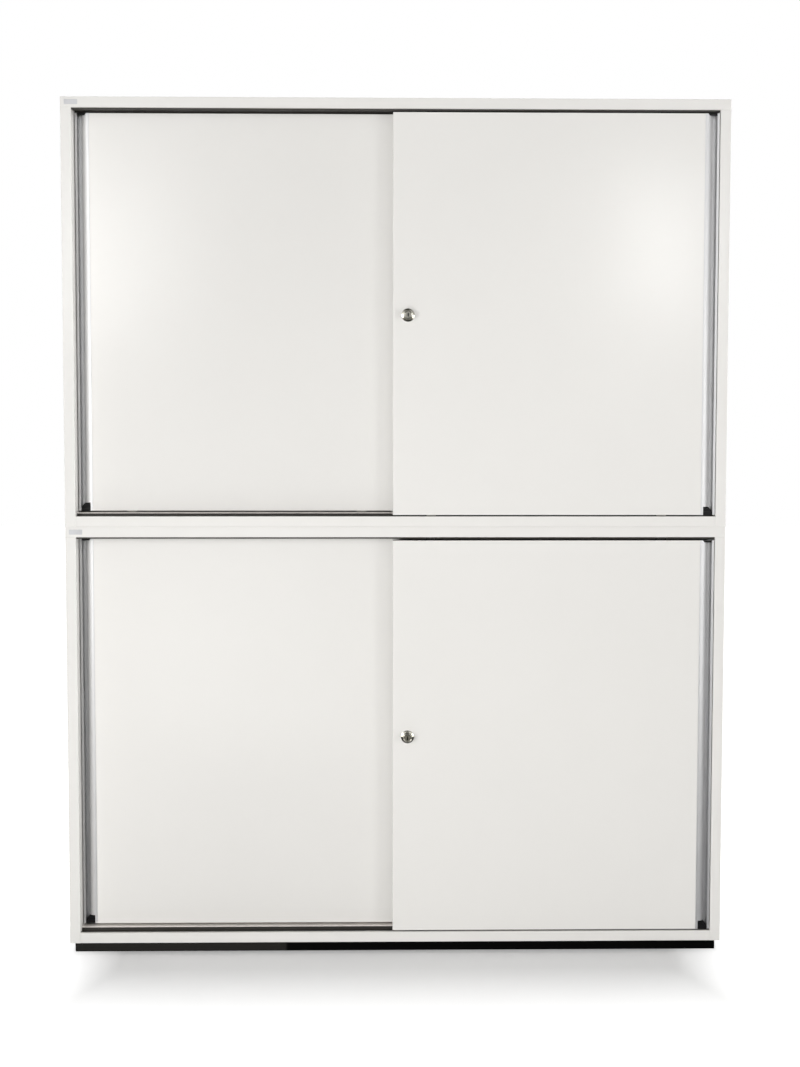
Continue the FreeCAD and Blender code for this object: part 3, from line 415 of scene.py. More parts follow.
def rod(low_end, push, radius, steps):
    """A closed cylinder from a point along push."""
    bm = bmesh.new()
    turn = Z.rotation_difference(push.normalized()).to_matrix().to_4x4()
    seat = Matrix.Translation(low_end + push / 2) @ turn
    bmesh.ops.create_cone(
        bm, cap_ends=True, segments=steps, radius1=radius, radius2=radius, depth=push.length, matrix=seat
    )
    return bm


def centre_of(node):
    """The middle of a turned node's front, its radius and its depth."""
    low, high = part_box(node)
    centre = Vector(((low.x + high.x) / 2, low.y, (low.z + high.z) / 2))
    return centre, (high.x - low.x) / 2, high.y - low.y


def rounded(bm, radius, segments=EDGE_STEPS, wanted=lambda edge: True):
    """Rounds the sharp edges that wanted picks."""
    bmesh.ops.recalc_face_normals(bm, faces=bm.faces)
    sharp = [e for e in bm.edges if e.is_manifold and e.calc_face_angle() > SHARP and wanted(e)]
    bmesh.ops.bevel(
        bm,
        geom=sharp,
        offset=radius,
        offset_type="OFFSET",
        segments=segments,
        profile=ARC,
        affect="EDGES",
        clamp_overlap=True,
        material=-1,
    )
    return bm


def joined(*solids):
    """One mesh that holds all the solids, which this uses up."""
    whole = solids[0]
    for other in solids[1:]:
        mesh = bpy.data.meshes.new("joining")
        other.to_mesh(mesh)
        other.free()
        whole.from_mesh(mesh)
        bpy.data.meshes.remove(mesh)
    return whole


def temporary(bm):
    """An object that holds the solid for a moment."""
    bmesh.ops.recalc_face_normals(bm, faces=bm.faces)
    mesh = bpy.data.meshes.new("temporary")
    bm.to_mesh(mesh)
    bm.free()
    obj = bpy.data.objects.new("temporary", mesh)
    bpy.context.scene.collection.objects.link(obj)
    return obj


def carved(bm, *tools):
    """The solid less the tools, all of which this uses up."""
    stock = temporary(bm)
    cutters = [temporary(tool) for tool in tools]
    for cutter in cutters:
        cut = stock.modifiers.new("Cut", "BOOLEAN")
        cut.operation = "DIFFERENCE"
        cut.solver = "EXACT"
        cut.object = cutter
    result = bmesh.new()
    result.from_object(stock, bpy.context.evaluated_depsgraph_get())
    for obj in (stock, *cutters):
        mesh = obj.data
        bpy.data.objects.remove(obj)
        bpy.data.meshes.remove(mesh)
    return result


def piece(name, bm, body, slot, *nodes):
    """A finished object on a body, with its slot's finish, standing for CAD nodes."""
    bmesh.ops.remove_doubles(bm, verts=bm.verts, dist=SAME)
    bmesh.ops.recalc_face_normals(bm, faces=bm.faces)
    if any(not edge.is_manifold for edge in bm.edges):
        raise RuntimeError(f"{name} is not closed")
    mesh = bpy.data.meshes.new(name)
    bm.to_mesh(mesh)
    bm.free()
    mesh.shade_smooth()
    mesh.set_sharp_from_angle(angle=SHARP)
    mesh.materials.append(finish_of(slot))
    obj = bpy.data.objects.new(name, mesh)
    bpy.context.scene.collection.objects.link(obj)
    normals = obj.modifiers.new("Weighted normals", "WEIGHTED_NORMAL")
    normals.keep_sharp = True
    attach(obj, body)
    if nodes:
        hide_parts(*nodes)
    return obj


# ---- Finishes ---------------------------------------------------------------------------------------


class Tree:
    """Adds linked nodes to a node tree."""

    def __init__(self, tree):
        self.tree = tree
        tree.nodes.clear()

    def feed(self, socket, value):
        """Links a socket, or sets its value."""
        if isinstance(value, bpy.types.NodeSocket):
            self.tree.links.new(value, socket)
        elif socket.type == "RGBA":
            socket.default_value = (*value, 1)
        else:
            socket.default_value = value

    def add(self, kind, settings=None, **inputs):
        """A node with its settings and inputs; a space in an input's name is written as _."""
        node = self.tree.nodes.new(kind)
        for name, value in (settings or {}).items():
            setattr(node, name, value)
        for name, value in inputs.items():
            self.feed(node.inputs[name.replace("_", " ")], value)
        return node

    def calculated(self, kind, operation, values):
        """The result of a calculation node."""
        node = self.add(kind, {"operation": operation})
        for socket, value in zip(node.inputs, values):
            self.feed(socket, value)
        return node.outputs[0]

    def math(self, operation, *values):
        """The result of a calculation."""
        return self.calculated("ShaderNodeMath", operation, values)

    def vector(self, operation, *values):
        """The result of a calculation on vectors."""
        return self.calculated("ShaderNodeVectorMath", operation, values)

    def ranged(self, value, low, high, to_low=0.0, to_high=1.0):
        """A value mapped from one range to another and kept within it."""
        source = {"From_Min": low, "From_Max": high}
        node = self.add("ShaderNodeMapRange", None, Value=value, To_Min=to_low, To_Max=to_high, **source)
        return node.outputs[0]

    def mixed(self, factor, first, second):
        """A colour between two colours."""
        node = self.add("ShaderNodeMix", {"data_type": "RGBA"})
        self.feed(node.inputs["Factor"], factor)
        colours = [socket for socket in node.inputs if socket.type == "RGBA"]
        self.feed(colours[0], first)
        self.feed(colours[1], second)
        return next(socket for socket in node.outputs if socket.type == "RGBA")

    def varied(self, value, middle, spread):
        """A number that a value from 0 to 1 takes half a spread either way from its middle."""
        return self.math("MULTIPLY_ADD", value, spread, middle - spread / 2)

    def noise(self, position, scale, detail=2.0, roughness=0.5):
        """Noise from 0 to 1."""
        shape = {"Scale": scale, "Detail": detail, "Roughness": roughness}
        return self.add("ShaderNodeTexNoise", None, Vector=position, **shape).outputs[0]

    def group(self, tree, **inputs):
        """A node group with its inputs."""
        return self.add("ShaderNodeGroup", {"node_tree": tree}, **inputs).outputs

    def position(self):
        """The place on the object."""
        return self.add("ShaderNodeTexCoord").outputs["Object"]

    def bump(self, height, distance):
        """A normal from a height."""
        return self.add("ShaderNodeBump", None, Height=height, Distance=distance, Strength=1.0).outputs[0]


NUMBER, VECTOR = "NodeSocketFloat", "NodeSocketVector"


class Group(Tree):
    """The node tree of a shader group; given holds its inputs."""

    def __init__(self, name, outputs, **inputs):
        self.group_tree = bpy.data.node_groups.new(name, "ShaderNodeTree")
        for socket, kind in inputs.items():
            self.group_tree.interface.new_socket(socket, in_out="INPUT", socket_type=kind)
        for socket in outputs:
            self.group_tree.interface.new_socket(socket, in_out="OUTPUT", socket_type=NUMBER)
        super().__init__(self.group_tree)
        self.given = self.add("NodeGroupInput").outputs
        self.result = self.add("NodeGroupOutput")

    def give(self, output, value):
        """Links one of the group's outputs."""
        self.feed(self.result.inputs[output], value)


EDGE_WEAR = 0.0018  # how far from a board's edge its wear reaches
CORE_DEPTH = (0.0004, 0.0007)  # where the melamine ends and the chipboard starts
JOINT_LINE = (0.00006, 0.00016)  # half the width of the band's joint, without and with its soft edges
SLOT_EDGE = (0.00002, 0.00008)  # beyond a key slot's wall, where its painted shade starts to fade and is gone
COAT_JOINT = 0.002  # half the width over which the powder coat's tone changes into its painted sheen

# Parts of a noise's range that become 0 and 1.
DRIFT_NOISE = (0.32, 0.68)
STREAK_NOISE = (0.3, 0.7)
SPOT_NOISE, SPOT_EDGE = 0.78, 0.03  # where spots start, and how soft their edges are

GRAIN_FINER = 4.0  # how much finer a relief's grains are than its waves
STREAKS_WIDER = (0.2, 0.2, 0.2)  # how much coarser streaks are than drawn lines
LINES_ACROSS, LINES_ALONG = 1400.0, 3.0  # how often a profile's drawn lines change, per metre
HAIRLINES = (900.0, 900.0, 5200.0)  # how often the chrome's hairlines change, per metre along x, y and z

# Depths of the finishes' relief.
PRESSED_RELIEF = 0.00005
DRAWN_RELIEF = 0.000012
HAIRLINE_RELIEF = 0.000004
ZINC_RELIEF = 0.00001
MOULDED_RELIEF = 0.00003
PEEL_RELIEF = 0.00006
CORE_RELIEF, JOINT_RELIEF = 6.0, -0.3  # chipboard and a band's joint, against the pressed texture

# How strongly marks and drifts of tone show.
JOINT_SHOWS = 0.12
WEAR_SHOWS = 0.4
ANODISED_DRIFT = 0.5
POWDER_DRIFT = 0.05
SCUFFS_SHOW = 0.02
SCUFFED = (0.05, 0.047, 0.043)
CORE_DULLER = 0.45  # how much rougher chipboard is than melamine
GLOSS_DRIFT = 0.03  # how far the boards' roughness drifts either way
DUST_PALER = 0.10  # how far dust takes a shade towards white
SLOT_SHADE_SHARE = 0.03  # share of the chrome's light that the painted shade in a key slot leaves


@cache
def board_zones():
    """How near a point on a board is to an edge, whether it is inside the board, and its band's joint."""
    outputs = ("Edge", "Core", "Joint")
    tree = Group("Board zones", outputs, Position=VECTOR, Low=VECTOR, High=VECTOR, Band=NUMBER)
    position = tree.given["Position"]
    from_low = tree.vector("SUBTRACT", position, tree.given["Low"])
    from_high = tree.vector("SUBTRACT", tree.given["High"], position)
    nearest = tree.add("ShaderNodeSeparateXYZ", None, Vector=tree.vector("MINIMUM", from_low, from_high))
    x, y, z = nearest.outputs
    least = tree.math("MINIMUM", tree.math("MINIMUM", x, y), z)
    lesser = tree.math("MINIMUM", tree.math("MAXIMUM", x, y), z)
    middle = tree.math("MAXIMUM", tree.math("MINIMUM", x, y), lesser)
    tree.give("Edge", tree.ranged(middle, 0.0, EDGE_WEAR, 1.0, 0.0))
    tree.give("Core", tree.ranged(least, *CORE_DEPTH))
    off_joint = tree.math("ABSOLUTE", tree.math("SUBTRACT", middle, tree.given["Band"]))
    tree.give("Joint", tree.ranged(off_joint, *JOINT_LINE, 1.0, 0.0))
    return tree.group_tree


@cache
def tone_drift():
    """A slow, slight change over a surface, from 0 to 1."""
    tree = Group("Tone drift", ("Tone",), Position=VECTOR, Scale=NUMBER)
    slow = tree.noise(tree.given["Position"], tree.given["Scale"], detail=3.0)
    tree.give("Tone", tree.ranged(slow, *DRIFT_NOISE))
    return tree.group_tree


@cache
def fine_relief():
    """The small unevenness of a pressed, sprayed or moulded surface."""
    tree = Group("Fine relief", ("Height",), Position=VECTOR, Scale=NUMBER, Grain=NUMBER)
    position, scale = tree.given["Position"], tree.given["Scale"]
    waves = tree.noise(position, scale, detail=1.0)
    grains = tree.noise(position, tree.math("MULTIPLY", scale, GRAIN_FINER), roughness=0.7)
    tree.give("Height", tree.math("MULTIPLY_ADD", grains, tree.given["Grain"], waves))
    return tree.group_tree


@cache
def drawn_lines():
    """Fine lines along the way a profile was drawn; Stretch squeezes the pattern across it."""
    tree = Group("Drawn lines", ("Lines", "Streaks"), Position=VECTOR, Stretch=VECTOR)
    stretched = tree.vector("MULTIPLY", tree.given["Position"], tree.given["Stretch"])
    tree.give("Lines", tree.noise(stretched, scale=1.0, detail=3.0, roughness=0.65))
    wide = tree.vector("MULTIPLY", stretched, STREAKS_WIDER)
    tree.give("Streaks", tree.ranged(tree.noise(wide, scale=1.0), *STREAK_NOISE))
    return tree.group_tree


@cache
def wear_spots():
    """Small scattered marks; Amount is how much of the surface they take."""
    tree = Group("Wear spots", ("Spots",), Position=VECTOR, Scale=NUMBER, Amount=NUMBER)
    patches = tree.noise(tree.given["Position"], tree.given["Scale"], detail=4.0, roughness=0.7)
    limit = tree.math("SUBTRACT", SPOT_NOISE, tree.given["Amount"])
    past = tree.math("SUBTRACT", patches, limit)
    tree.give("Spots", tree.ranged(past, 0.0, SPOT_EDGE))
    return tree.group_tree


class Surface(Tree):
    """The node tree of a material with one shader, and the patterns that the finishes share."""

    def __init__(self, name):
        self.material = bpy.data.materials.new(name)
        self.material.use_nodes = True
        super().__init__(self.material.node_tree)
        self.shader = self.add("ShaderNodeBsdfPrincipled")
        output = self.add("ShaderNodeOutputMaterial")
        self.feed(output.inputs["Surface"], self.shader.outputs["BSDF"])
        self.here = self.position()

    def shade(self, **inputs):
        """Sets or links the shader's inputs; a space in a name is written as _."""
        for name, value in inputs.items():
            self.feed(self.shader.inputs[name.replace("_", " ")], value)

    def drift(self, scale):
        """A slow, slight change over the surface, from 0 to 1."""
        return self.group(tone_drift(), Position=self.here, Scale=scale)["Tone"]

    def relief(self, scale, grain):
        """The height of the surface's unevenness."""
        return self.group(fine_relief(), Position=self.here, Scale=scale, Grain=grain)["Height"]

    def lines(self, stretch):
        """Drawn lines and their streaks."""
        return self.group(drawn_lines(), Position=self.here, Stretch=stretch)

    def spots(self, scale, amount):
        """Small scattered marks."""
        return self.group(wear_spots(), Position=self.here, Scale=scale, Amount=amount)["Spots"]

    def cells(self, scale):
        """The colours of small cells, as three numbers for each cell."""
        cells = self.add("ShaderNodeTexVoronoi", None, Vector=self.here, Scale=scale)
        return self.add("ShaderNodeSeparateColor", None, Color=cells.outputs["Color"]).outputs


def darker(shade, by):
    """A colour with less light in it."""
    return tuple(part * by for part in shade)


def melamine(name, low, high):
    """White melamine with its edge band, fine pressed texture, and chipboard where the board is cut."""
    finish = bpy.context.scene.cabinet_finish
    tree = Surface(name)
    zones = tree.group(board_zones(), Position=tree.here, Low=low, High=high, Band=finish.band_width)
    drift = tree.drift(scale=2.2)
    face = tree.mixed(drift, darker(finish.melamine, 0.985), finish.melamine)
    joint = tree.math("MULTIPLY", zones["Joint"], JOINT_SHOWS)
    face = tree.mixed(joint, face, darker(finish.band, 0.55))
    worn_edge = tree.math("MULTIPLY", tree.spots(scale=90.0, amount=0.055), zones["Edge"])
    face = tree.mixed(tree.math("MULTIPLY", worn_edge, WEAR_SHOWS), face, darker(finish.chipboard, 0.9))
    chip_tone = tree.cells(scale=420.0)[0]
    core = tree.mixed(chip_tone, darker(finish.chipboard, 0.55), finish.chipboard)
    dullness = finish.melamine_roughness
    gloss = tree.ranged(drift, 0.0, 1.0, dullness - GLOSS_DRIFT, dullness + GLOSS_DRIFT)
    relief = tree.relief(scale=260.0, grain=0.25)
    rough_core = tree.math("MULTIPLY", tree.math("MULTIPLY", chip_tone, zones["Core"]), CORE_RELIEF)
    sunk = tree.math("MULTIPLY_ADD", zones["Joint"], JOINT_RELIEF, tree.math("ADD", relief, rough_core))
    tree.shade(
        Base_Color=tree.mixed(zones["Core"], face, core),
        Roughness=tree.math("MULTIPLY_ADD", zones["Core"], CORE_DULLER, gloss),
        Normal=tree.bump(sunk, PRESSED_RELIEF),
    )
    return tree.material


def anodised(name, shade, roughness, stretch, metal=1.0):
    """Satin aluminium with the lines of its extrusion, anodised or coated."""
    tree = Surface(name)
    lines = tree.lines(stretch)
    drift = tree.drift(scale=5.0)
    tone = tree.mixed(lines["Streaks"], darker(shade, 0.95), shade)
    gloss = tree.varied(lines["Lines"], roughness, 0.10)
    tree.shade(
        Base_Color=tree.mixed(tree.math("MULTIPLY", drift, ANODISED_DRIFT), tone, darker(shade, 0.93)),
        Metallic=metal,
        Roughness=gloss,
        Normal=tree.bump(lines["Lines"], DRAWN_RELIEF),
    )


def chromed(name, shade, roughness, key_slots):
    """Polished chrome with faint hairlines and fingermarks, and painted shade that darkens the key slots.
    """
    tree = Surface(name)
    smears = tree.drift(scale=160.0)
    hair = tree.lines(stretch=HAIRLINES)["Lines"]
    # Painted shade: the chrome is darkened inside the key slots.
    key_slot_shade = 0.0
    for low, high in key_slots:
        from_middle = tree.vector("ABSOLUTE", tree.vector("SUBTRACT", tree.here, (low + high) / 2))
        outside = tree.vector("SUBTRACT", from_middle, (high - low) / 2)
        x, y, z = tree.add("ShaderNodeSeparateXYZ", None, Vector=outside).outputs
        farthest = tree.math("MAXIMUM", tree.math("MAXIMUM", x, y), z)
        key_slot_shade = tree.math("MAXIMUM", key_slot_shade, tree.ranged(farthest, *SLOT_EDGE, 1.0, 0.0))
    plating = tree.mixed(smears, darker(shade, 0.9), shade)
    base = tree.mixed(key_slot_shade, plating, darker(shade, SLOT_SHADE_SHARE))
    brushed = tree.varied(hair, roughness - 0.01, 0.06)
    tree.shade(
        Base_Color=base,
        Metallic=1.0,
        Roughness=tree.math("MULTIPLY_ADD", smears, 0.10, brushed),
        Normal=tree.bump(hair, HAIRLINE_RELIEF),
    )


def zinc_plated(name, shade):
    """Bright zinc plating, clouded in small cells."""
    tree = Surface(name)
    cell = tree.cells(scale=380.0)[1]
    relief = tree.relief(scale=700.0, grain=0.4)
    tree.shade(
        Base_Color=tree.mixed(cell, darker(shade, 0.82), shade),
        Metallic=1.0,
        Roughness=tree.ranged(cell, 0.0, 1.0, 0.30, 0.44),
        Normal=tree.bump(relief, ZINC_RELIEF),
    )


def moulded(name, shade, roughness, fineness, dust=0.3, gleam=0.5):
    """Moulded or extruded plastic with an eroded grain and a little dust."""
    tree = Surface(name)
    relief = tree.relief(scale=fineness, grain=0.8)
    drift = tree.drift(scale=45.0)
    specks = tree.spots(scale=240.0, amount=0.10)
    dusty = tuple(part + DUST_PALER * (1 - part) for part in shade)
    tone = tree.mixed(drift, darker(shade, 0.88), shade)
    tree.shade(
        Base_Color=tree.mixed(tree.math("MULTIPLY", specks, dust), tone, dusty),
        Roughness=tree.varied(drift, roughness, 0.08),
        Specular_IOR_Level=gleam,
        Normal=tree.bump(relief, MOULDED_RELIEF),
    )


def powder_coated(name, shade, sheen_grey, joint):
    """Dull black powder coat: an orange peel, and a greyer length up to a joint, which is a painted sheen,
    a reflection painted into the colour.
    """
    tree = Surface(name)
    peel = tree.relief(scale=520.0, grain=0.5)
    drift = tree.drift(scale=3.0)
    scuffs = tree.spots(scale=35.0, amount=0.08)
    x = tree.add("ShaderNodeSeparateXYZ", None, Vector=tree.here).outputs["X"]
    # Painted sheen: the length up to the joint is greyer, as if it mirrored the floor.
    length_tone = tree.mixed(tree.ranged(x, joint - COAT_JOINT, joint + COAT_JOINT), sheen_grey, shade)
    coat = tree.mixed(tree.math("MULTIPLY", drift, POWDER_DRIFT), length_tone, darker(sheen_grey, 0.5))
    tree.shade(
        Base_Color=tree.mixed(tree.math("MULTIPLY", scuffs, SCUFFS_SHOW), coat, SCUFFED),
        Roughness=tree.ranged(drift, 0.0, 1.0, 0.50, 0.66),
        Specular_IOR_Level=0.03,
        Normal=tree.bump(peel, PEEL_RELIEF),
    )


def shared_finishes():
    """Makes the finishes that several pieces share, each named for its slot."""
    finish = bpy.context.scene.cabinet_finish
    along_x = (LINES_ALONG, LINES_ACROSS, LINES_ACROSS)
    along_z = (LINES_ACROSS, LINES_ACROSS, LINES_ALONG)
    anodised("grip_aluminium_finish", finish.aluminium, finish.aluminium_roughness, along_z)
    anodised("pale_track_finish", finish.rail, 0.30, along_x, metal=0.25)
    key_slots = [key_slot(tier) for tier in TIERS]
    chromed("lock_chrome_finish", finish.chrome, finish.chrome_roughness, key_slots)
    zinc_plated("zinc_steel_finish", finish.zinc)
    moulded("black_plastic_finish", finish.black_plastic, 0.38, 900.0, dust=0.09, gleam=0.22)
    moulded("roller_plastic_finish", finish.roller, 0.42, 500.0)
    moulded("dark_track_finish", finish.dark_track, 0.45, 700.0)
    moulded("plate_plastic_finish", finish.plate, 0.35, 1200.0, dust=0.12)
    powder_coated("black_steel_finish", finish.powder, finish.painted_sheen_powder, finish.powder_joint)


def finish_of(slot):
    """The shared finish of a slot, made when it is first asked for."""
    name = f"{slot}_finish"
    if name not in bpy.data.materials:
        shared_finishes()
    return bpy.data.materials[name]


# ---- Pieces -----------------------------------------------------------------------------------------


def cover(node, material):
    """Gives a CAD node its finish."""
    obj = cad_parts[node]
    if not obj.material_slots:
        obj.data.materials.append(material)
    for slot in obj.material_slots:
        slot.material = material


class CABINET_OT_case_boards(bpy.types.Operator):
    """Finish the boards, shelves and back panels of both cases."""

    bl_idname = "cabinet.case_boards"
    bl_label = "Case boards"

    def execute(self, context):
        for tier in TIERS:
            for board in CASE_BOARDS:
                node = f"{tier}_{board}"
                cover(node, melamine(f"{node}_melamine", *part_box(node)))
        return {"FINISHED"}


class CABINET_OT_door_panels(bpy.types.Operator):
    """Finish the doors' boards."""

    bl_idname = "cabinet.door_panels"
    bl_label = "Door panels"

    def execute(self, context):
        for tier, door in DOORS:
            node = f"{tier}_{door}_door_panel"
            cover(node, melamine(f"{node}_melamine", *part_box(node)))
        return {"FINISHED"}


class CABINET_OT_plinth(bpy.types.Operator):
    """Finish the plinth."""

    bl_idname = "cabinet.plinth"
    bl_label = "Plinth"

    def execute(self, context):
        cover("plinth_frame", finish_of("black_steel"))
        return {"FINISHED"}


def door_side(tier, door):
    """The board's lower front edge beside the grip, the way out from it, and the grip's corners."""
    low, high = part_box(f"{tier}_{door}_door_grip")
    tongue = bpy.context.scene.cabinet_grip.tongue
    if door == "front":
        return Vector((low.x + tongue, low.y, low.z)), X, low, high
    return Vector((high.x - tongue, low.y, low.z)), -X, low, high


def grip_profile(tier, door):
    """A grip profile: a rounded side and a finger recess behind an outer lip, notched for its caps."""
    grip = bpy.context.scene.cabinet_grip
    start, out, low, high = door_side(tier, door)
    width = high.x - low.x - grip.tongue
    depth, height = high.y - low.y, high.z - low.z
    lip = width - grip.lip
    corners = (
        (0, 0, grip.seam),
        (grip.shoulder, 0, grip.roll),
        (grip.mouth, grip.slope, grip.mouth_edge),
        (grip.mouth, grip.recess, grip.corner),
        (lip, grip.recess, grip.lip_edge),
        (lip, 0, grip.lip_edge),
        (width + grip.bead, 0, grip.lip_edge),
        (width + grip.bead, grip.bead_depth, grip.seam),
        (width, grip.bead_depth, 0),
        (width, depth, grip.lip_edge),
        (0, depth, grip.seam),
        (0, grip.tongue_back, 0),
        (-grip.tongue, grip.tongue_back, 0),
        (-grip.tongue, grip.tongue_front, 0),
        (0, grip.tongue_front, 0),
    )
    profile = bar(corners, out, Y, start, Z * height)
    ends = sorted((start.x + out.x * grip.notch_side, start.x + out.x * lip))
    corner = Vector((ends[0], start.y - PAST, start.z - PAST))
    lower = block(corner, Vector((ends[1], start.y + grip.notch_depth, start.z + grip.bottom_notch)))
    outline = (
        (grip.notch_side + grip.slant, 0, 0),
        (lip, 0, 0),
        (lip, grip.top_notch + PAST, 0),
        (grip.notch_side, grip.top_notch + PAST, 0),
    )
    below = start + Z * (height - grip.top_notch)
    upper = bar(outline, out, Z, below - Y * PAST, Y * (grip.top_depth + PAST))
    return carved(profile, lower, upper)


class CABINET_OT_door_grips(bpy.types.Operator):
    """Model the aluminium grip profiles on the doors' outer edges."""

    bl_idname = "cabinet.door_grips"
    bl_label = "Door grips"

    def execute(self, context):
        for tier, door in DOORS:
            node = f"{tier}_{door}_door_grip"
            profile = grip_profile(tier, door)
            piece(f"{node}_profile", profile, f"{tier}_{door}_door", "grip_aluminium", node)
        return {"FINISHED"}


def end_caps(tier, door):
    """A stepped lower cap with a sloping outer corner, and a shallow upper cap with a slanting side."""
    grip = bpy.context.scene.cabinet_grip
    start, out, low, high = door_side(tier, door)
    across = grip.notch_side + grip.cap_gap
    width = high.x - low.x - grip.tongue - grip.lip - grip.cap_gap - across
    depth = grip.notch_depth - grip.cap_inset - grip.cap_gap
    tall = grip.bottom_notch
    corner = start + out * across + Y * grip.cap_inset
    outline = (
        (0, 0, 0),
        (width, 0, 0),
        (width, tall - grip.cap_slope_height, grip.cap_round),
        (width - grip.cap_slope_width, tall, grip.cap_round),
        (0, tall, 0),
    )
    cap = bar(outline, out, Z, corner, Y * depth)
    steps = []
    for above, ledge in ((grip.ledge_low, grip.ledge), (grip.ledge_high, 2 * grip.ledge)):
        ends = sorted((corner.x - out.x * PAST, corner.x + out.x * (width + PAST)))
        step_low = Vector((ends[0], corner.y - PAST, corner.z + above))
        step_high = Vector((ends[1], corner.y + ledge, corner.z + tall + PAST))
        steps.append(block(step_low, step_high))
    lower = rounded(carved(cap, *steps), grip.cap_edge)
    top = grip.top_notch - grip.cap_gap
    outline = ((grip.slant + grip.cap_gap, 0, 0), (width, 0, 0), (width, top, 0), (grip.cap_gap, top, 0))
    below = corner + Z * (high.z - low.z - top)
    upper = bar(outline, out, Z, below, Y * (grip.top_depth - grip.cap_inset - grip.cap_gap))
    return joined(lower, rounded(upper, grip.cap_edge))


class CABINET_OT_end_caps(bpy.types.Operator):
    """Model the black caps in the ends of the grip profiles."""

    bl_idname = "cabinet.end_caps"
    bl_label = "End caps"

    def execute(self, context):
        for tier, door in DOORS:
            node = f"{tier}_{door}_door_end_caps"
            piece(f"{node}_stepped", end_caps(tier, door), f"{tier}_{door}_door", "black_plastic", node)
        return {"FINISHED"}


def track_section(node):
    """The tracks' settings, and a track's depth, height, radius of edges, and place and way."""
    track = bpy.context.scene.cabinet_track
    low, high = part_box(node)
    return track, high.y - low.y, high.z - low.z, track.edge, (low, X * (high.x - low.x))


def top_track(tier):
    """Two slots and a hollow between them, all open downwards."""
    track, depth, height, edge, place_and_way = track_section(f"{tier}_top_track")
    corners = [(0, 0, edge)]
    front, rear = track.wall, track.wall + track.pitch
    between = front + track.slot + track.web
    hollows = ((front, front + track.slot), (between, rear - track.web), (rear, rear + track.slot))
    for start, end in hollows:
        corners += [(start, 0, edge), (start, track.top_slot, edge)]
        corners += [(end, track.top_slot, edge), (end, 0, edge)]
    corners += [(depth, 0, edge), (depth, height, 0), (0, height, 0)]
    return bar(corners, Y, Z, *place_and_way)


def bottom_track(tier):
    """A broad rib between the doors and a raised rear slot."""
    track, depth, height, edge, place_and_way = track_section(f"{tier}_bottom_track")
    rear = track.wall + track.pitch
    corners = (
        (track.rib_front, 0, 0),
        (depth, 0, 0),
        (depth, height, edge),
        (rear + track.slot, height, edge),
        (rear + track.slot, track.rear_floor, edge),
        (rear, track.rear_floor, edge),
        (rear, height, edge),
        (track.rib_front, height, 2 * edge),
    )
    return bar(corners, Y, Z, *place_and_way)


def slot_shade_liner(tier):
    """The dark liner of the front slot, whose stepped back covers most of the rib's front: a dark sheet
    that stands in for the shade in the slot and on the rib's front.
    """
    track, _, _, edge, place_and_way = track_section(f"{tier}_bottom_track")
    front = track.wall + track.slot
    corners = (
        (0, 0, 0),
        (track.rib_front, 0, 0),
        (track.rib_front, track.liner_back, 0),
        (track.rib_front - track.liner_sheet, track.liner_back, edge / 2),
        (track.rib_front - track.liner_sheet, track.liner_step, 0),
        (front, track.liner_step, edge),
        (front, track.front_floor, edge),
        (track.wall, track.front_floor, edge),
        (track.wall, track.lip, edge),
        (0, track.lip, edge / 2),
    )
    return bar(corners, Y, Z, *place_and_way)


class CABINET_OT_tracks(bpy.types.Operator):
    """Model the top and bottom tracks."""

    bl_idname = "cabinet.tracks"
    bl_label = "Tracks"

    def execute(self, context):
        for tier in TIERS:
            tracks = (("top_track", "dark_track", top_track), ("bottom_track", "pale_track", bottom_track))
            for name, slot, solid in tracks:
                node = f"{tier}_{name}"
                piece(f"{node}_profile", solid(tier), "cabinet", slot, node)
            # The slot liner is a dark sheet that stands in for painted shade in the front slot.
            piece(f"{tier}_slot_liner", slot_shade_liner(tier), "cabinet", "dark_track")
        return {"FINISHED"}


def screw(at):
    """A cross-slotted dome head on a surface that faces -Y."""
    fixings = bpy.context.scene.cabinet_fixings
    head = rounded(rod(at, -Y * fixings.screw_height, fixings.screw, ROUND), fixings.screw_edge)
    floor, past = at - Y * fixings.screw_floor, at - Y * (fixings.screw_height + PAST)
    for along, across in ((X, Z), (Z, X)):
        reach = along * fixings.screw * fixings.screw_reach + across * fixings.screw_slot / 2
        head = carved(head, block(*spanned(floor - reach, past + reach)))
    return head


def housings(tier, door):
    """Forks with a stub axle each, ribbed beside the roller."""
    runner = bpy.context.scene.cabinet_runner
    low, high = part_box(f"{tier}_{door}_door_runner_housings")
    forks = []
    for end in DOOR_ENDS:
        roller_low, roller_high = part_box(f"{tier}_{door}_door_{end}_roller")
        centre = (roller_low + roller_high) / 2
        along = X * RUNNER_HALF
        middle = Vector((centre.x, low.y, low.z))
        shell = block(middle - along, Vector((centre.x, high.y, high.z)) + along)
        shell = rounded(shell, runner.edge)
        reach = Vector((runner.fork_reach, runner.fork / 2, 0))
        slot_low = Vector((centre.x, centre.y, low.z - PAST)) - reach
        slot_high = Vector((centre.x, centre.y, centre.z + runner.fork_reach)) + reach
        tools = [block(slot_low, slot_high)]
        for side in (-1, 1):
            across = centre.x + side * (RUNNER_HALF + runner.fork_reach) / 2
            half = runner.pocket
            pocket_low = Vector((across - half, high.y - runner.pocket_depth, low.z + half))
            tools.append(block(pocket_low, Vector((across + half, high.y + PAST, high.z - half))))
        fork = carved(shell, *tools)
        axle_end = runner.fork / 2 + runner.axle_seat
        axle_start = Vector((centre.x, centre.y - axle_end, low.z + runner.axle_height))
        forks += [fork, rod(axle_start, Y * 2 * axle_end, runner.axle, AXLE_ROUND)]
    return joined(*forks)


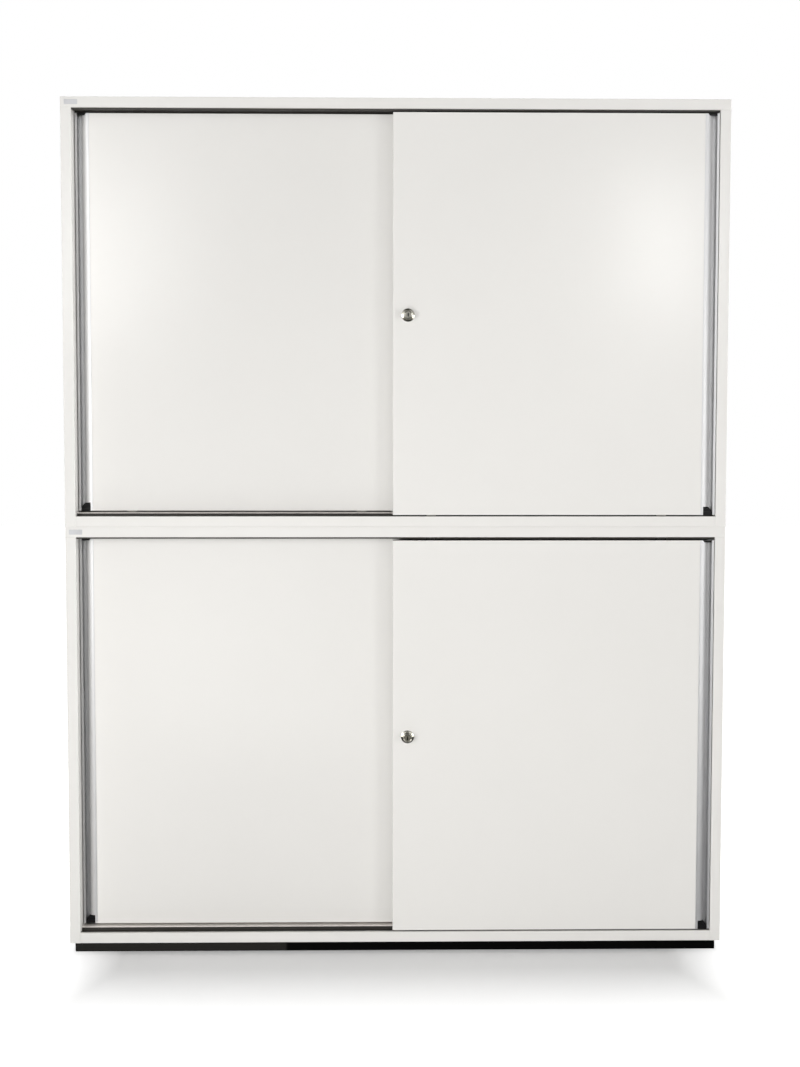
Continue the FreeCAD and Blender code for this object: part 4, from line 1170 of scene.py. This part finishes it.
def guides(tier, door):
    """Blocks with a rounded tongue that runs in the top track's slot."""
    runner = bpy.context.scene.cabinet_runner
    low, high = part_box(f"{tier}_{door}_door_top_guides")
    blocks = []
    for end in DOOR_ENDS:
        roller_low, roller_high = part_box(f"{tier}_{door}_door_{end}_roller")
        centre = (roller_low.x + roller_high.x) / 2
        half = min(abs(centre - low.x), abs(centre - high.x))
        shoulder = high.z - runner.tongue_height
        seat_low = Vector((centre - half, low.y, low.z))
        seat = rounded(block(seat_low, Vector((centre + half, high.y, shoulder))), runner.edge)
        back = high.y - runner.tongue_back
        reach = runner.tongue_length / 2
        tongue_low = Vector((centre - reach, back - runner.tongue_width, shoulder - runner.tongue_root))
        tongue_high = Vector((centre + reach, back, high.z))
        tongue = rounded(block(tongue_low, tongue_high), 2 * runner.edge, TONGUE_STEPS)
        blocks += [seat, tongue]
    return joined(*blocks)


def roller(node):
    """A roller with dished sides and a rounded tread."""
    runner = bpy.context.scene.cabinet_runner
    centre, radius, width = centre_of(node)
    edge = runner.edge / 2
    side = (
        (runner.bore, 0, 0),
        (runner.hub, 0, edge),
        (runner.hub, runner.dish, edge),
        (runner.web, runner.dish, edge),
        (runner.web, 0, edge),
        (radius, 0, 2 * edge),
    )
    other_side = ((out, width - along, rounding) for out, along, rounding in reversed(side))
    corners = (*side, *other_side)
    return turned(corners, centre, Y, X)


class CABINET_OT_runners(bpy.types.Operator):
    """Model the rollers, their housings and the top guides."""

    bl_idname = "cabinet.runners"
    bl_label = "Runners"

    def execute(self, context):
        for tier, door in DOORS:
            body = f"{tier}_{door}_door"
            for name, solid in (("runner_housings", housings), ("top_guides", guides)):
                node = f"{body}_{name}"
                piece(f"{node}_moulded", solid(tier, door), body, "black_plastic", node)
            for end in DOOR_ENDS:
                node = f"{body}_{end}_roller"
                piece(f"{node}_turned", roller(node), node, "roller_plastic", node)
        return {"FINISHED"}


def lock_housing(tier):
    """A sloping rosette, and the barrel behind it."""
    lock = bpy.context.scene.cabinet_lock
    centre, radius, depth = centre_of(f"{tier}_lock_housing")
    corners = (
        (lock.bore, 0, lock.thin_edge),
        (lock.crown, 0, lock.rosette_edge),
        (radius, lock.rosette - lock.rosette_rim, lock.rosette_edge),
        (radius, lock.rosette, 0),
        (lock.barrel, lock.rosette, 0),
        (lock.barrel, depth, lock.end_edge),
        (lock.bore, depth, 0),
    )
    return turned(corners, centre, Y, X)


def key_slot(tier):
    """The corners of the key slot in the core's face."""
    lock = bpy.context.scene.cabinet_lock
    centre, _, _ = centre_of(f"{tier}_lock_plug")
    face = centre + Y * lock.core_drop
    half = Vector((lock.key_width / 2, 0, lock.key_height / 2))
    return face - half, face + half + Y * lock.key_depth


def lock_plug(tier):
    """The push cylinder: a rim, a groove round the key core, and the key slot."""
    lock = bpy.context.scene.cabinet_lock
    centre, radius, depth = centre_of(f"{tier}_lock_plug")
    face, groove_floor = lock.core_drop, lock.core_drop + lock.groove_depth
    corners = (
        (0, face, 0),
        (lock.core, face, lock.fine_edge),
        (lock.core, groove_floor, 0),
        (lock.core + lock.groove, groove_floor, 0),
        (lock.core + lock.groove, face, lock.thin_edge),
        (lock.core + 2 * lock.groove, face, lock.thin_edge),
        (radius - lock.rim, 0, lock.fine_edge),
        (radius, 0, lock.rim_edge),
        (radius, depth, lock.rim_edge),
        (0, depth, 0),
    )
    slot_low, slot_high = key_slot(tier)
    return carved(turned(corners, centre, Y, X), block(slot_low - Y * (face + PAST), slot_high))


def lock_nut(tier):
    """A ring nut with four notches for its spanner."""
    lock = bpy.context.scene.cabinet_lock
    centre, radius, thick = centre_of(f"{tier}_lock_nut")
    corners = (
        (lock.barrel, 0, 0),
        (radius, 0, lock.end_edge),
        (radius, thick, lock.end_edge),
        (lock.barrel, thick, lock.nut_bore_edge),
    )
    ring = turned(corners, centre, Y, X)
    notches = []
    for way, side in ((X, Z), (-X, Z), (Z, X), (-Z, X)):
        inner = centre + way * (radius - lock.nut_notch_depth) + Y * PAST
        outer = centre + way * (radius + PAST) + Y * (thick + PAST)
        half = side * lock.nut_notch / 2
        notches.append(block(*spanned(inner - half, inner + half, outer - half, outer + half)))
    return carved(ring, *notches)


def lock_keeper(tier):
    """A bent steel angle, with its plate on the rear door's face."""
    lock = bpy.context.scene.cabinet_lock
    low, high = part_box(f"{tier}_lock_keeper")
    width, reach = high.x - low.x, high.y - low.y
    corners = (
        (0, 0, 0),
        (width, 0, lock.keeper_bend),
        (width, reach, lock.keeper_edge),
        (width - lock.keeper_lug, reach, lock.keeper_edge),
        (width - lock.keeper_lug, lock.keeper_sheet, lock.keeper_hollow),
        (0, lock.keeper_sheet, lock.keeper_edge),
    )
    start = Vector((low.x, high.y, low.z))
    angle = bar(corners, X, -Y, start, Z * (high.z - low.z))
    spare = (high.z - low.z - lock.keeper_lug_height) / 2
    plate_front = high.y - lock.keeper_sheet
    ends = []
    for foot in (low.z - PAST, high.z - spare):
        corner = Vector((low.x - PAST, low.y - PAST, foot))
        ends.append(block(corner, Vector((high.x + PAST, plate_front, foot + spare + PAST))))
    return carved(angle, *ends)


class CABINET_OT_locks(bpy.types.Operator):
    """Model the push locks, their nuts and their keepers."""

    bl_idname = "cabinet.locks"
    bl_label = "Locks"

    def execute(self, context):
        for tier in TIERS:
            front, rear, lock = f"{tier}_front_door", f"{tier}_rear_door", f"{tier}_lock"
            for name, solid, body in (
                ("lock_housing", lock_housing, front),
                ("lock_nut", lock_nut, front),
                ("lock_plug", lock_plug, lock),
            ):
                node = f"{tier}_{name}"
                piece(f"{node}_turned", solid(tier), body, "lock_chrome", node)
            node = f"{tier}_lock_keeper"
            piece(f"{node}_bent", lock_keeper(tier), rear, "zinc_steel", node)
            low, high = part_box(node)
            settings = context.scene.cabinet_lock
            across = low.x + (high.x - low.x) * settings.keeper_screw
            plate_face = high.y - settings.keeper_sheet
            heights = (low.z + settings.keeper_screw_end, high.z - settings.keeper_screw_end)
            screws = joined(*(screw(Vector((across, plate_face, height))) for height in heights))
            piece(f"{tier}_keeper_screws", screws, rear, "zinc_steel")
        return {"FINISHED"}


def shelf_pin(at, out):
    """A pin with a collar against the wall, cut flat under the shelf."""
    fixings = bpy.context.scene.cabinet_fixings
    inner = at - out * fixings.pin_in_wall
    shank = rounded(rod(inner, out * 2 * fixings.pin_in_wall, fixings.pin, ROUND), fixings.pin_end)
    collar = rod(at, out * fixings.pin_collar_width, fixings.pin_collar, ROUND)
    collar = rounded(collar, fixings.collar_edge)
    above = at + Z * fixings.pin
    reach = Vector((fixings.pin_collar_width + PAST, fixings.pin_collar + PAST, 0))
    return joined(shank, carved(collar, block(above - reach, above + reach + Z * fixings.pin_collar)))


def shelf_pins():
    """Four pins under each shelf, found from the shelves and the walls beside them."""
    pins = []
    fixings = bpy.context.scene.cabinet_fixings
    for tier in TIERS:
        for side in ("left", "right"):
            low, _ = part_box(f"{tier}_{side}_shelf")
            wall_low, wall_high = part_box(f"{tier}_partition")
            case_low, case_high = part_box(f"{tier}_{side}_panel")
            walls = (case_high.x, wall_low.x) if side == "left" else (wall_high.x, case_low.x)
            for wall, out in zip(walls, (X, -X)):
                for back in (PIN_FRONT, PIN_BACK):
                    at = Vector((wall, case_low.y + back, low.z - fixings.pin))
                    pins.append(shelf_pin(at, out))
    return joined(*pins)


def joining_bolt(base, height):
    """A sleeve bolt with a domed head at each end and a hexagon socket in the upper one."""
    fixings = bpy.context.scene.cabinet_fixings
    head, edge, top = fixings.bolt_head, fixings.bolt_edge, base + Z * height
    shank = rod(base, Z * height, fixings.bolt, ROUND)
    foot = rounded(rod(base, Z * head, BOLT_HEAD_RADIUS, BOLT_ROUND), edge, BOLT_EDGE_STEPS)
    cap = rounded(rod(top - Z * head, Z * head, BOLT_HEAD_RADIUS, BOLT_ROUND), edge, BOLT_EDGE_STEPS)
    depth = fixings.socket_depth
    socket = rod(top - Z * depth, Z * (depth + PAST), fixings.socket, HEXAGON)
    return joined(carved(cap, socket), foot, shank)


class CABINET_OT_fixings(bpy.types.Operator):
    """Model the shelf pins and the bolts that join the cases."""

    bl_idname = "cabinet.fixings"
    bl_label = "Fixings"

    def execute(self, context):
        piece("shelf_pins_turned", shelf_pins(), "cabinet", "zinc_steel", "shelf_pins")
        low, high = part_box("joining_bolts")
        inset = BOLT_HEAD_RADIUS
        bolts = [
            joining_bolt(Vector((x, y, low.z)), high.z - low.z)
            for x in (low.x + inset, high.x - inset)
            for y in (low.y + inset, high.y - inset)
        ]
        piece("joining_bolts_turned", joined(*bolts), "cabinet", "zinc_steel", "joining_bolts")
        return {"FINISHED"}


class CABINET_OT_blank_plates(bpy.types.Operator):
    """Model the blank plates on the top panels' front edges."""

    bl_idname = "cabinet.blank_plates"
    bl_label = "Blank plates"

    def execute(self, context):
        fixings = context.scene.cabinet_fixings
        low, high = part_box("blank_plates")
        plates = []
        for foot in (low.z, high.z - PLATE_HEIGHT):
            plate = block(Vector((low.x, low.y, foot)), Vector((high.x, high.y, foot + PLATE_HEIGHT)))
            rounded(plate, fixings.plate_corner, PLATE_CORNER_STEPS, runs_back)
            in_front = low.y + SAME
            rounded(plate, fixings.plate_edge, wanted=lambda edge: edge_middle(edge).y < in_front)
            plates.append(plate)
        piece("blank_plates_rounded", joined(*plates), "cabinet", "plate_plastic", "blank_plates")
        return {"FINISHED"}


def runs_back(edge):
    """Whether an edge runs from front to back."""
    return (edge.verts[1].co - edge.verts[0].co).normalized().cross(Y).length < SAME


def edge_middle(edge):
    """An edge's middle."""
    return (edge.verts[0].co + edge.verts[1].co) / 2


# ---- Studio -----------------------------------------------------------------------------------------


def aimed(at, target):
    """The turn that points the -Z of an object at one place to another."""
    return (target - at).to_track_quat("-Z", "Y").to_euler()


def lamp(name, at, target, size, watts):
    """A soft area lamp."""
    data = bpy.data.lights.new(name, "AREA")
    data.shape = "RECTANGLE"
    data.size, data.size_y = size
    data.energy = watts
    obj = bpy.data.objects.new(name, data)
    obj.location = at
    obj.rotation_euler = aimed(at, target)
    obj.visible_camera = False
    bpy.context.scene.collection.objects.link(obj)
    return obj


# How the surroundings change with the direction's x, y or z: each pair is where a change starts and ends.
ROOM = (-0.25, 0.08)  # ends of the room in front
BOXES = (0.0, 0.2)  # from an end of the room to the soft box beside it
FAR_RIGHT = (0.40, 1.0)
WHITE_BEHIND = (0.4, 0.75)
CEILING = (0.30, 0.75)
CEILING_SHARE = 0.12
AHEAD_POWER = 8.0  # how closely the light from in front keeps to straight ahead
AHEAD_LEFT = (0.0, -0.2)
LIT_BEHIND = (0.15, 0.7)


def studio_world(studio):
    """White to the camera. Metal sees white behind the cabinet, soft boxes and a dim room in front."""
    world = bpy.data.worlds.new("studio")
    world.use_nodes = True
    bpy.context.scene.world = world
    tree = Tree(world.node_tree)
    path = tree.add("ShaderNodeLightPath").outputs
    direction = tree.add("ShaderNodeTexCoord").outputs["Generated"]
    x, y, z = tree.add("ShaderNodeSeparateXYZ", None, Vector=direction).outputs
    from_left, from_right = tree.math("SUBTRACT", ROOM[0], x), tree.math("SUBTRACT", x, ROOM[1])
    aside = tree.math("MAXIMUM", from_left, from_right)
    boxes = tree.ranged(aside, *BOXES, studio.room, studio.boxes)
    dim = tree.ranged(x, *FAR_RIGHT, 1.0, studio.walls / studio.boxes)
    shown = tree.math("MAXIMUM", tree.math("MULTIPLY", boxes, dim), tree.ranged(y, *WHITE_BEHIND))
    shown = tree.math("MULTIPLY", shown, tree.ranged(z, *CEILING, 1.0, CEILING_SHARE))
    ahead = tree.math("MAXIMUM", tree.math("MULTIPLY", y, -1.0), 0.0)
    ahead = tree.math("POWER", ahead, AHEAD_POWER)
    ahead = tree.math("MULTIPLY", ahead, tree.ranged(x, *AHEAD_LEFT, studio.right_share, 1.0))
    around = tree.math("MULTIPLY_ADD", tree.ranged(y, *LIT_BEHIND), studio.behind, studio.ambient)
    lit = tree.math("MULTIPLY_ADD", ahead, studio.fill, around)
    glossy = tree.math("MULTIPLY", path["Is Glossy Ray"], tree.math("SUBTRACT", shown, lit))
    seen = tree.math("MAXIMUM", clear_rays(tree, path), tree.math("ADD", lit, glossy))
    background = tree.add("ShaderNodeBackground", None, Color=WHITE, Strength=seen)
    output = tree.add("ShaderNodeOutputWorld")
    tree.feed(output.inputs["Surface"], background.outputs[0])


def clear_rays(tree, path):
    """1 for the rays that show the background as it is."""
    return tree.math("MAXIMUM", path["Is Camera Ray"], path["Is Transmission Ray"])


# Where on the floor its look changes: each pair is where a change starts and ends.
FLOOR_BESIDE = (0.50, 0.66)
FLOOR_IN_FRONT = (-0.32, -0.80)
FLOOR_BEHIND = (0.0, 0.5)
FLOOR_FAR = (-2.2, -1.8)
FLOOR_SHADE = (0.82, 0.82, 0.82)
# What metal sees of the floor is painted shade: dark near the cabinet and dimmer than the floor further
# off.
FLOOR_IN_METAL_FAR, FLOOR_IN_METAL_NEAR = (0.40, 0.39, 0.34), (0.08, 0.08, 0.08)


def studio_floor(studio):
    """A pale floor that keeps the cabinet's shadow and is white around it; metal sees it with painted
    shade, dark near the cabinet.
    """
    bm = bmesh.new()
    bmesh.ops.create_grid(bm, x_segments=1, y_segments=1, size=studio.floor)
    mesh = bpy.data.meshes.new("floor")
    bm.to_mesh(mesh)
    bm.free()
    floor = bpy.data.objects.new("floor", mesh)
    bpy.context.scene.collection.objects.link(floor)
    material = bpy.data.materials.new("floor_white")
    material.use_nodes = True
    tree = Tree(material.node_tree)
    path = tree.add("ShaderNodeLightPath").outputs
    seen = clear_rays(tree, path)
    x, y, _ = tree.add("ShaderNodeSeparateXYZ", None, Vector=tree.position()).outputs
    beside = tree.ranged(tree.math("ABSOLUTE", x), *FLOOR_BESIDE)
    in_front, behind = tree.ranged(y, *FLOOR_IN_FRONT), tree.ranged(y, *FLOOR_BEHIND)
    around = tree.math("MAXIMUM", beside, tree.math("MAXIMUM", in_front, behind))
    lift = tree.math("MULTIPLY_ADD", around, 1.0 - studio.lift, studio.lift)
    # Painted shade in reflections: glossy rays see a darker floor than the camera does.
    in_metal = tree.mixed(tree.ranged(y, *FLOOR_FAR), FLOOR_IN_METAL_FAR, FLOOR_IN_METAL_NEAR)
    shade = tree.mixed(path["Is Glossy Ray"], FLOOR_SHADE, in_metal)
    lit = tree.add("ShaderNodeBsdfDiffuse", None, Color=shade)
    glow = tree.add("ShaderNodeEmission", None, Color=WHITE)
    tree.feed(glow.inputs["Strength"], tree.math("MULTIPLY", seen, lift))
    both = tree.add("ShaderNodeAddShader")
    tree.feed(both.inputs[0], lit.outputs[0])
    tree.feed(both.inputs[1], glow.outputs[0])
    output = tree.add("ShaderNodeOutputMaterial")
    tree.feed(output.inputs["Surface"], both.outputs[0])
    mesh.materials.append(material)


class CABINET_OT_studio(bpy.types.Operator):
    """Set up the camera, the lamps, the floor and the surroundings."""

    bl_idname = "cabinet.studio"
    bl_label = "Studio"

    def execute(self, context):
        studio = context.scene.cabinet_studio
        low, high = CAD_BOX
        middle = (low + high) / 2
        for name in ("left", "right", "side", "low"):
            at = Vector(getattr(studio, f"{name}_lamp"))
            size, watts = getattr(studio, f"{name}_size"), getattr(studio, f"{name}_power")
            obj = lamp(f"{name}_lamp", at, middle, size, watts)
            obj.visible_glossy = name in ("left", "right")
        for side in (-1, 1):
            at = Vector((side * studio.near_lamp[0], *studio.near_lamp[1:]))
            lamp("near_lamp", at, middle, studio.near_size, studio.near_power)
        over = Vector(studio.top_lamp) + Z * high.z
        lamp("top_lamp", over, over - Z, studio.top_size, studio.top_power)
        studio_world(studio)
        studio_floor(studio)
        data = bpy.data.cameras.new("camera")
        data.lens = studio.camera_lens
        camera = bpy.data.objects.new("camera", data)
        camera.location = studio.camera_place
        camera.rotation_euler = studio.camera_turn
        context.scene.collection.objects.link(camera)
        context.scene.camera = camera
        context.scene.view_settings.view_transform = "Standard"
        return {"FINISHED"}


# ---- Add-on -----------------------------------------------------------------------------------------

OPERATORS = (
    CABINET_OT_studio,
    CABINET_OT_case_boards,
    CABINET_OT_door_panels,
    CABINET_OT_plinth,
    CABINET_OT_tracks,
    CABINET_OT_door_grips,
    CABINET_OT_end_caps,
    CABINET_OT_runners,
    CABINET_OT_locks,
    CABINET_OT_fixings,
    CABINET_OT_blank_plates,
)


class CABINET_PT_pieces(bpy.types.Panel):
    """Lists the cabinet's pieces and their settings."""

    bl_idname = "CABINET_PT_pieces"
    bl_label = "Sliding Door Cabinet"
    bl_space_type = "VIEW_3D"
    bl_region_type = "UI"
    bl_category = "Cabinet"

    def draw(self, context):
        for operator in OPERATORS:
            self.layout.operator(operator.bl_idname)
        for name in SETTINGS:
            box = self.layout.box()
            values = getattr(context.scene, name)
            for setting in values.bl_rna.properties:
                if setting.identifier not in ("rna_type", "name"):
                    box.prop(values, setting.identifier)


CLASSES = (*SETTINGS.values(), *OPERATORS, CABINET_PT_pieces)


def register():
    """Registers the settings, operators and panel."""
    for own in CLASSES:
        bpy.utils.register_class(own)
    for name, own in SETTINGS.items():
        setattr(bpy.types.Scene, name, PointerProperty(type=own))


def unregister():
    """Removes what register added."""
    for name in SETTINGS:
        delattr(bpy.types.Scene, name)
    for own in reversed(CLASSES):
        bpy.utils.unregister_class(own)


def main():
    """Builds every piece and the studio."""
    register()
    bpy.ops.cabinet.studio()
    bpy.ops.cabinet.case_boards()
    bpy.ops.cabinet.door_panels()
    bpy.ops.cabinet.plinth()
    bpy.ops.cabinet.tracks()
    bpy.ops.cabinet.door_grips()
    bpy.ops.cabinet.end_caps()
    bpy.ops.cabinet.runners()
    bpy.ops.cabinet.locks()
    bpy.ops.cabinet.fixings()
    bpy.ops.cabinet.blank_plates()


if __name__ == "__main__":
    main()
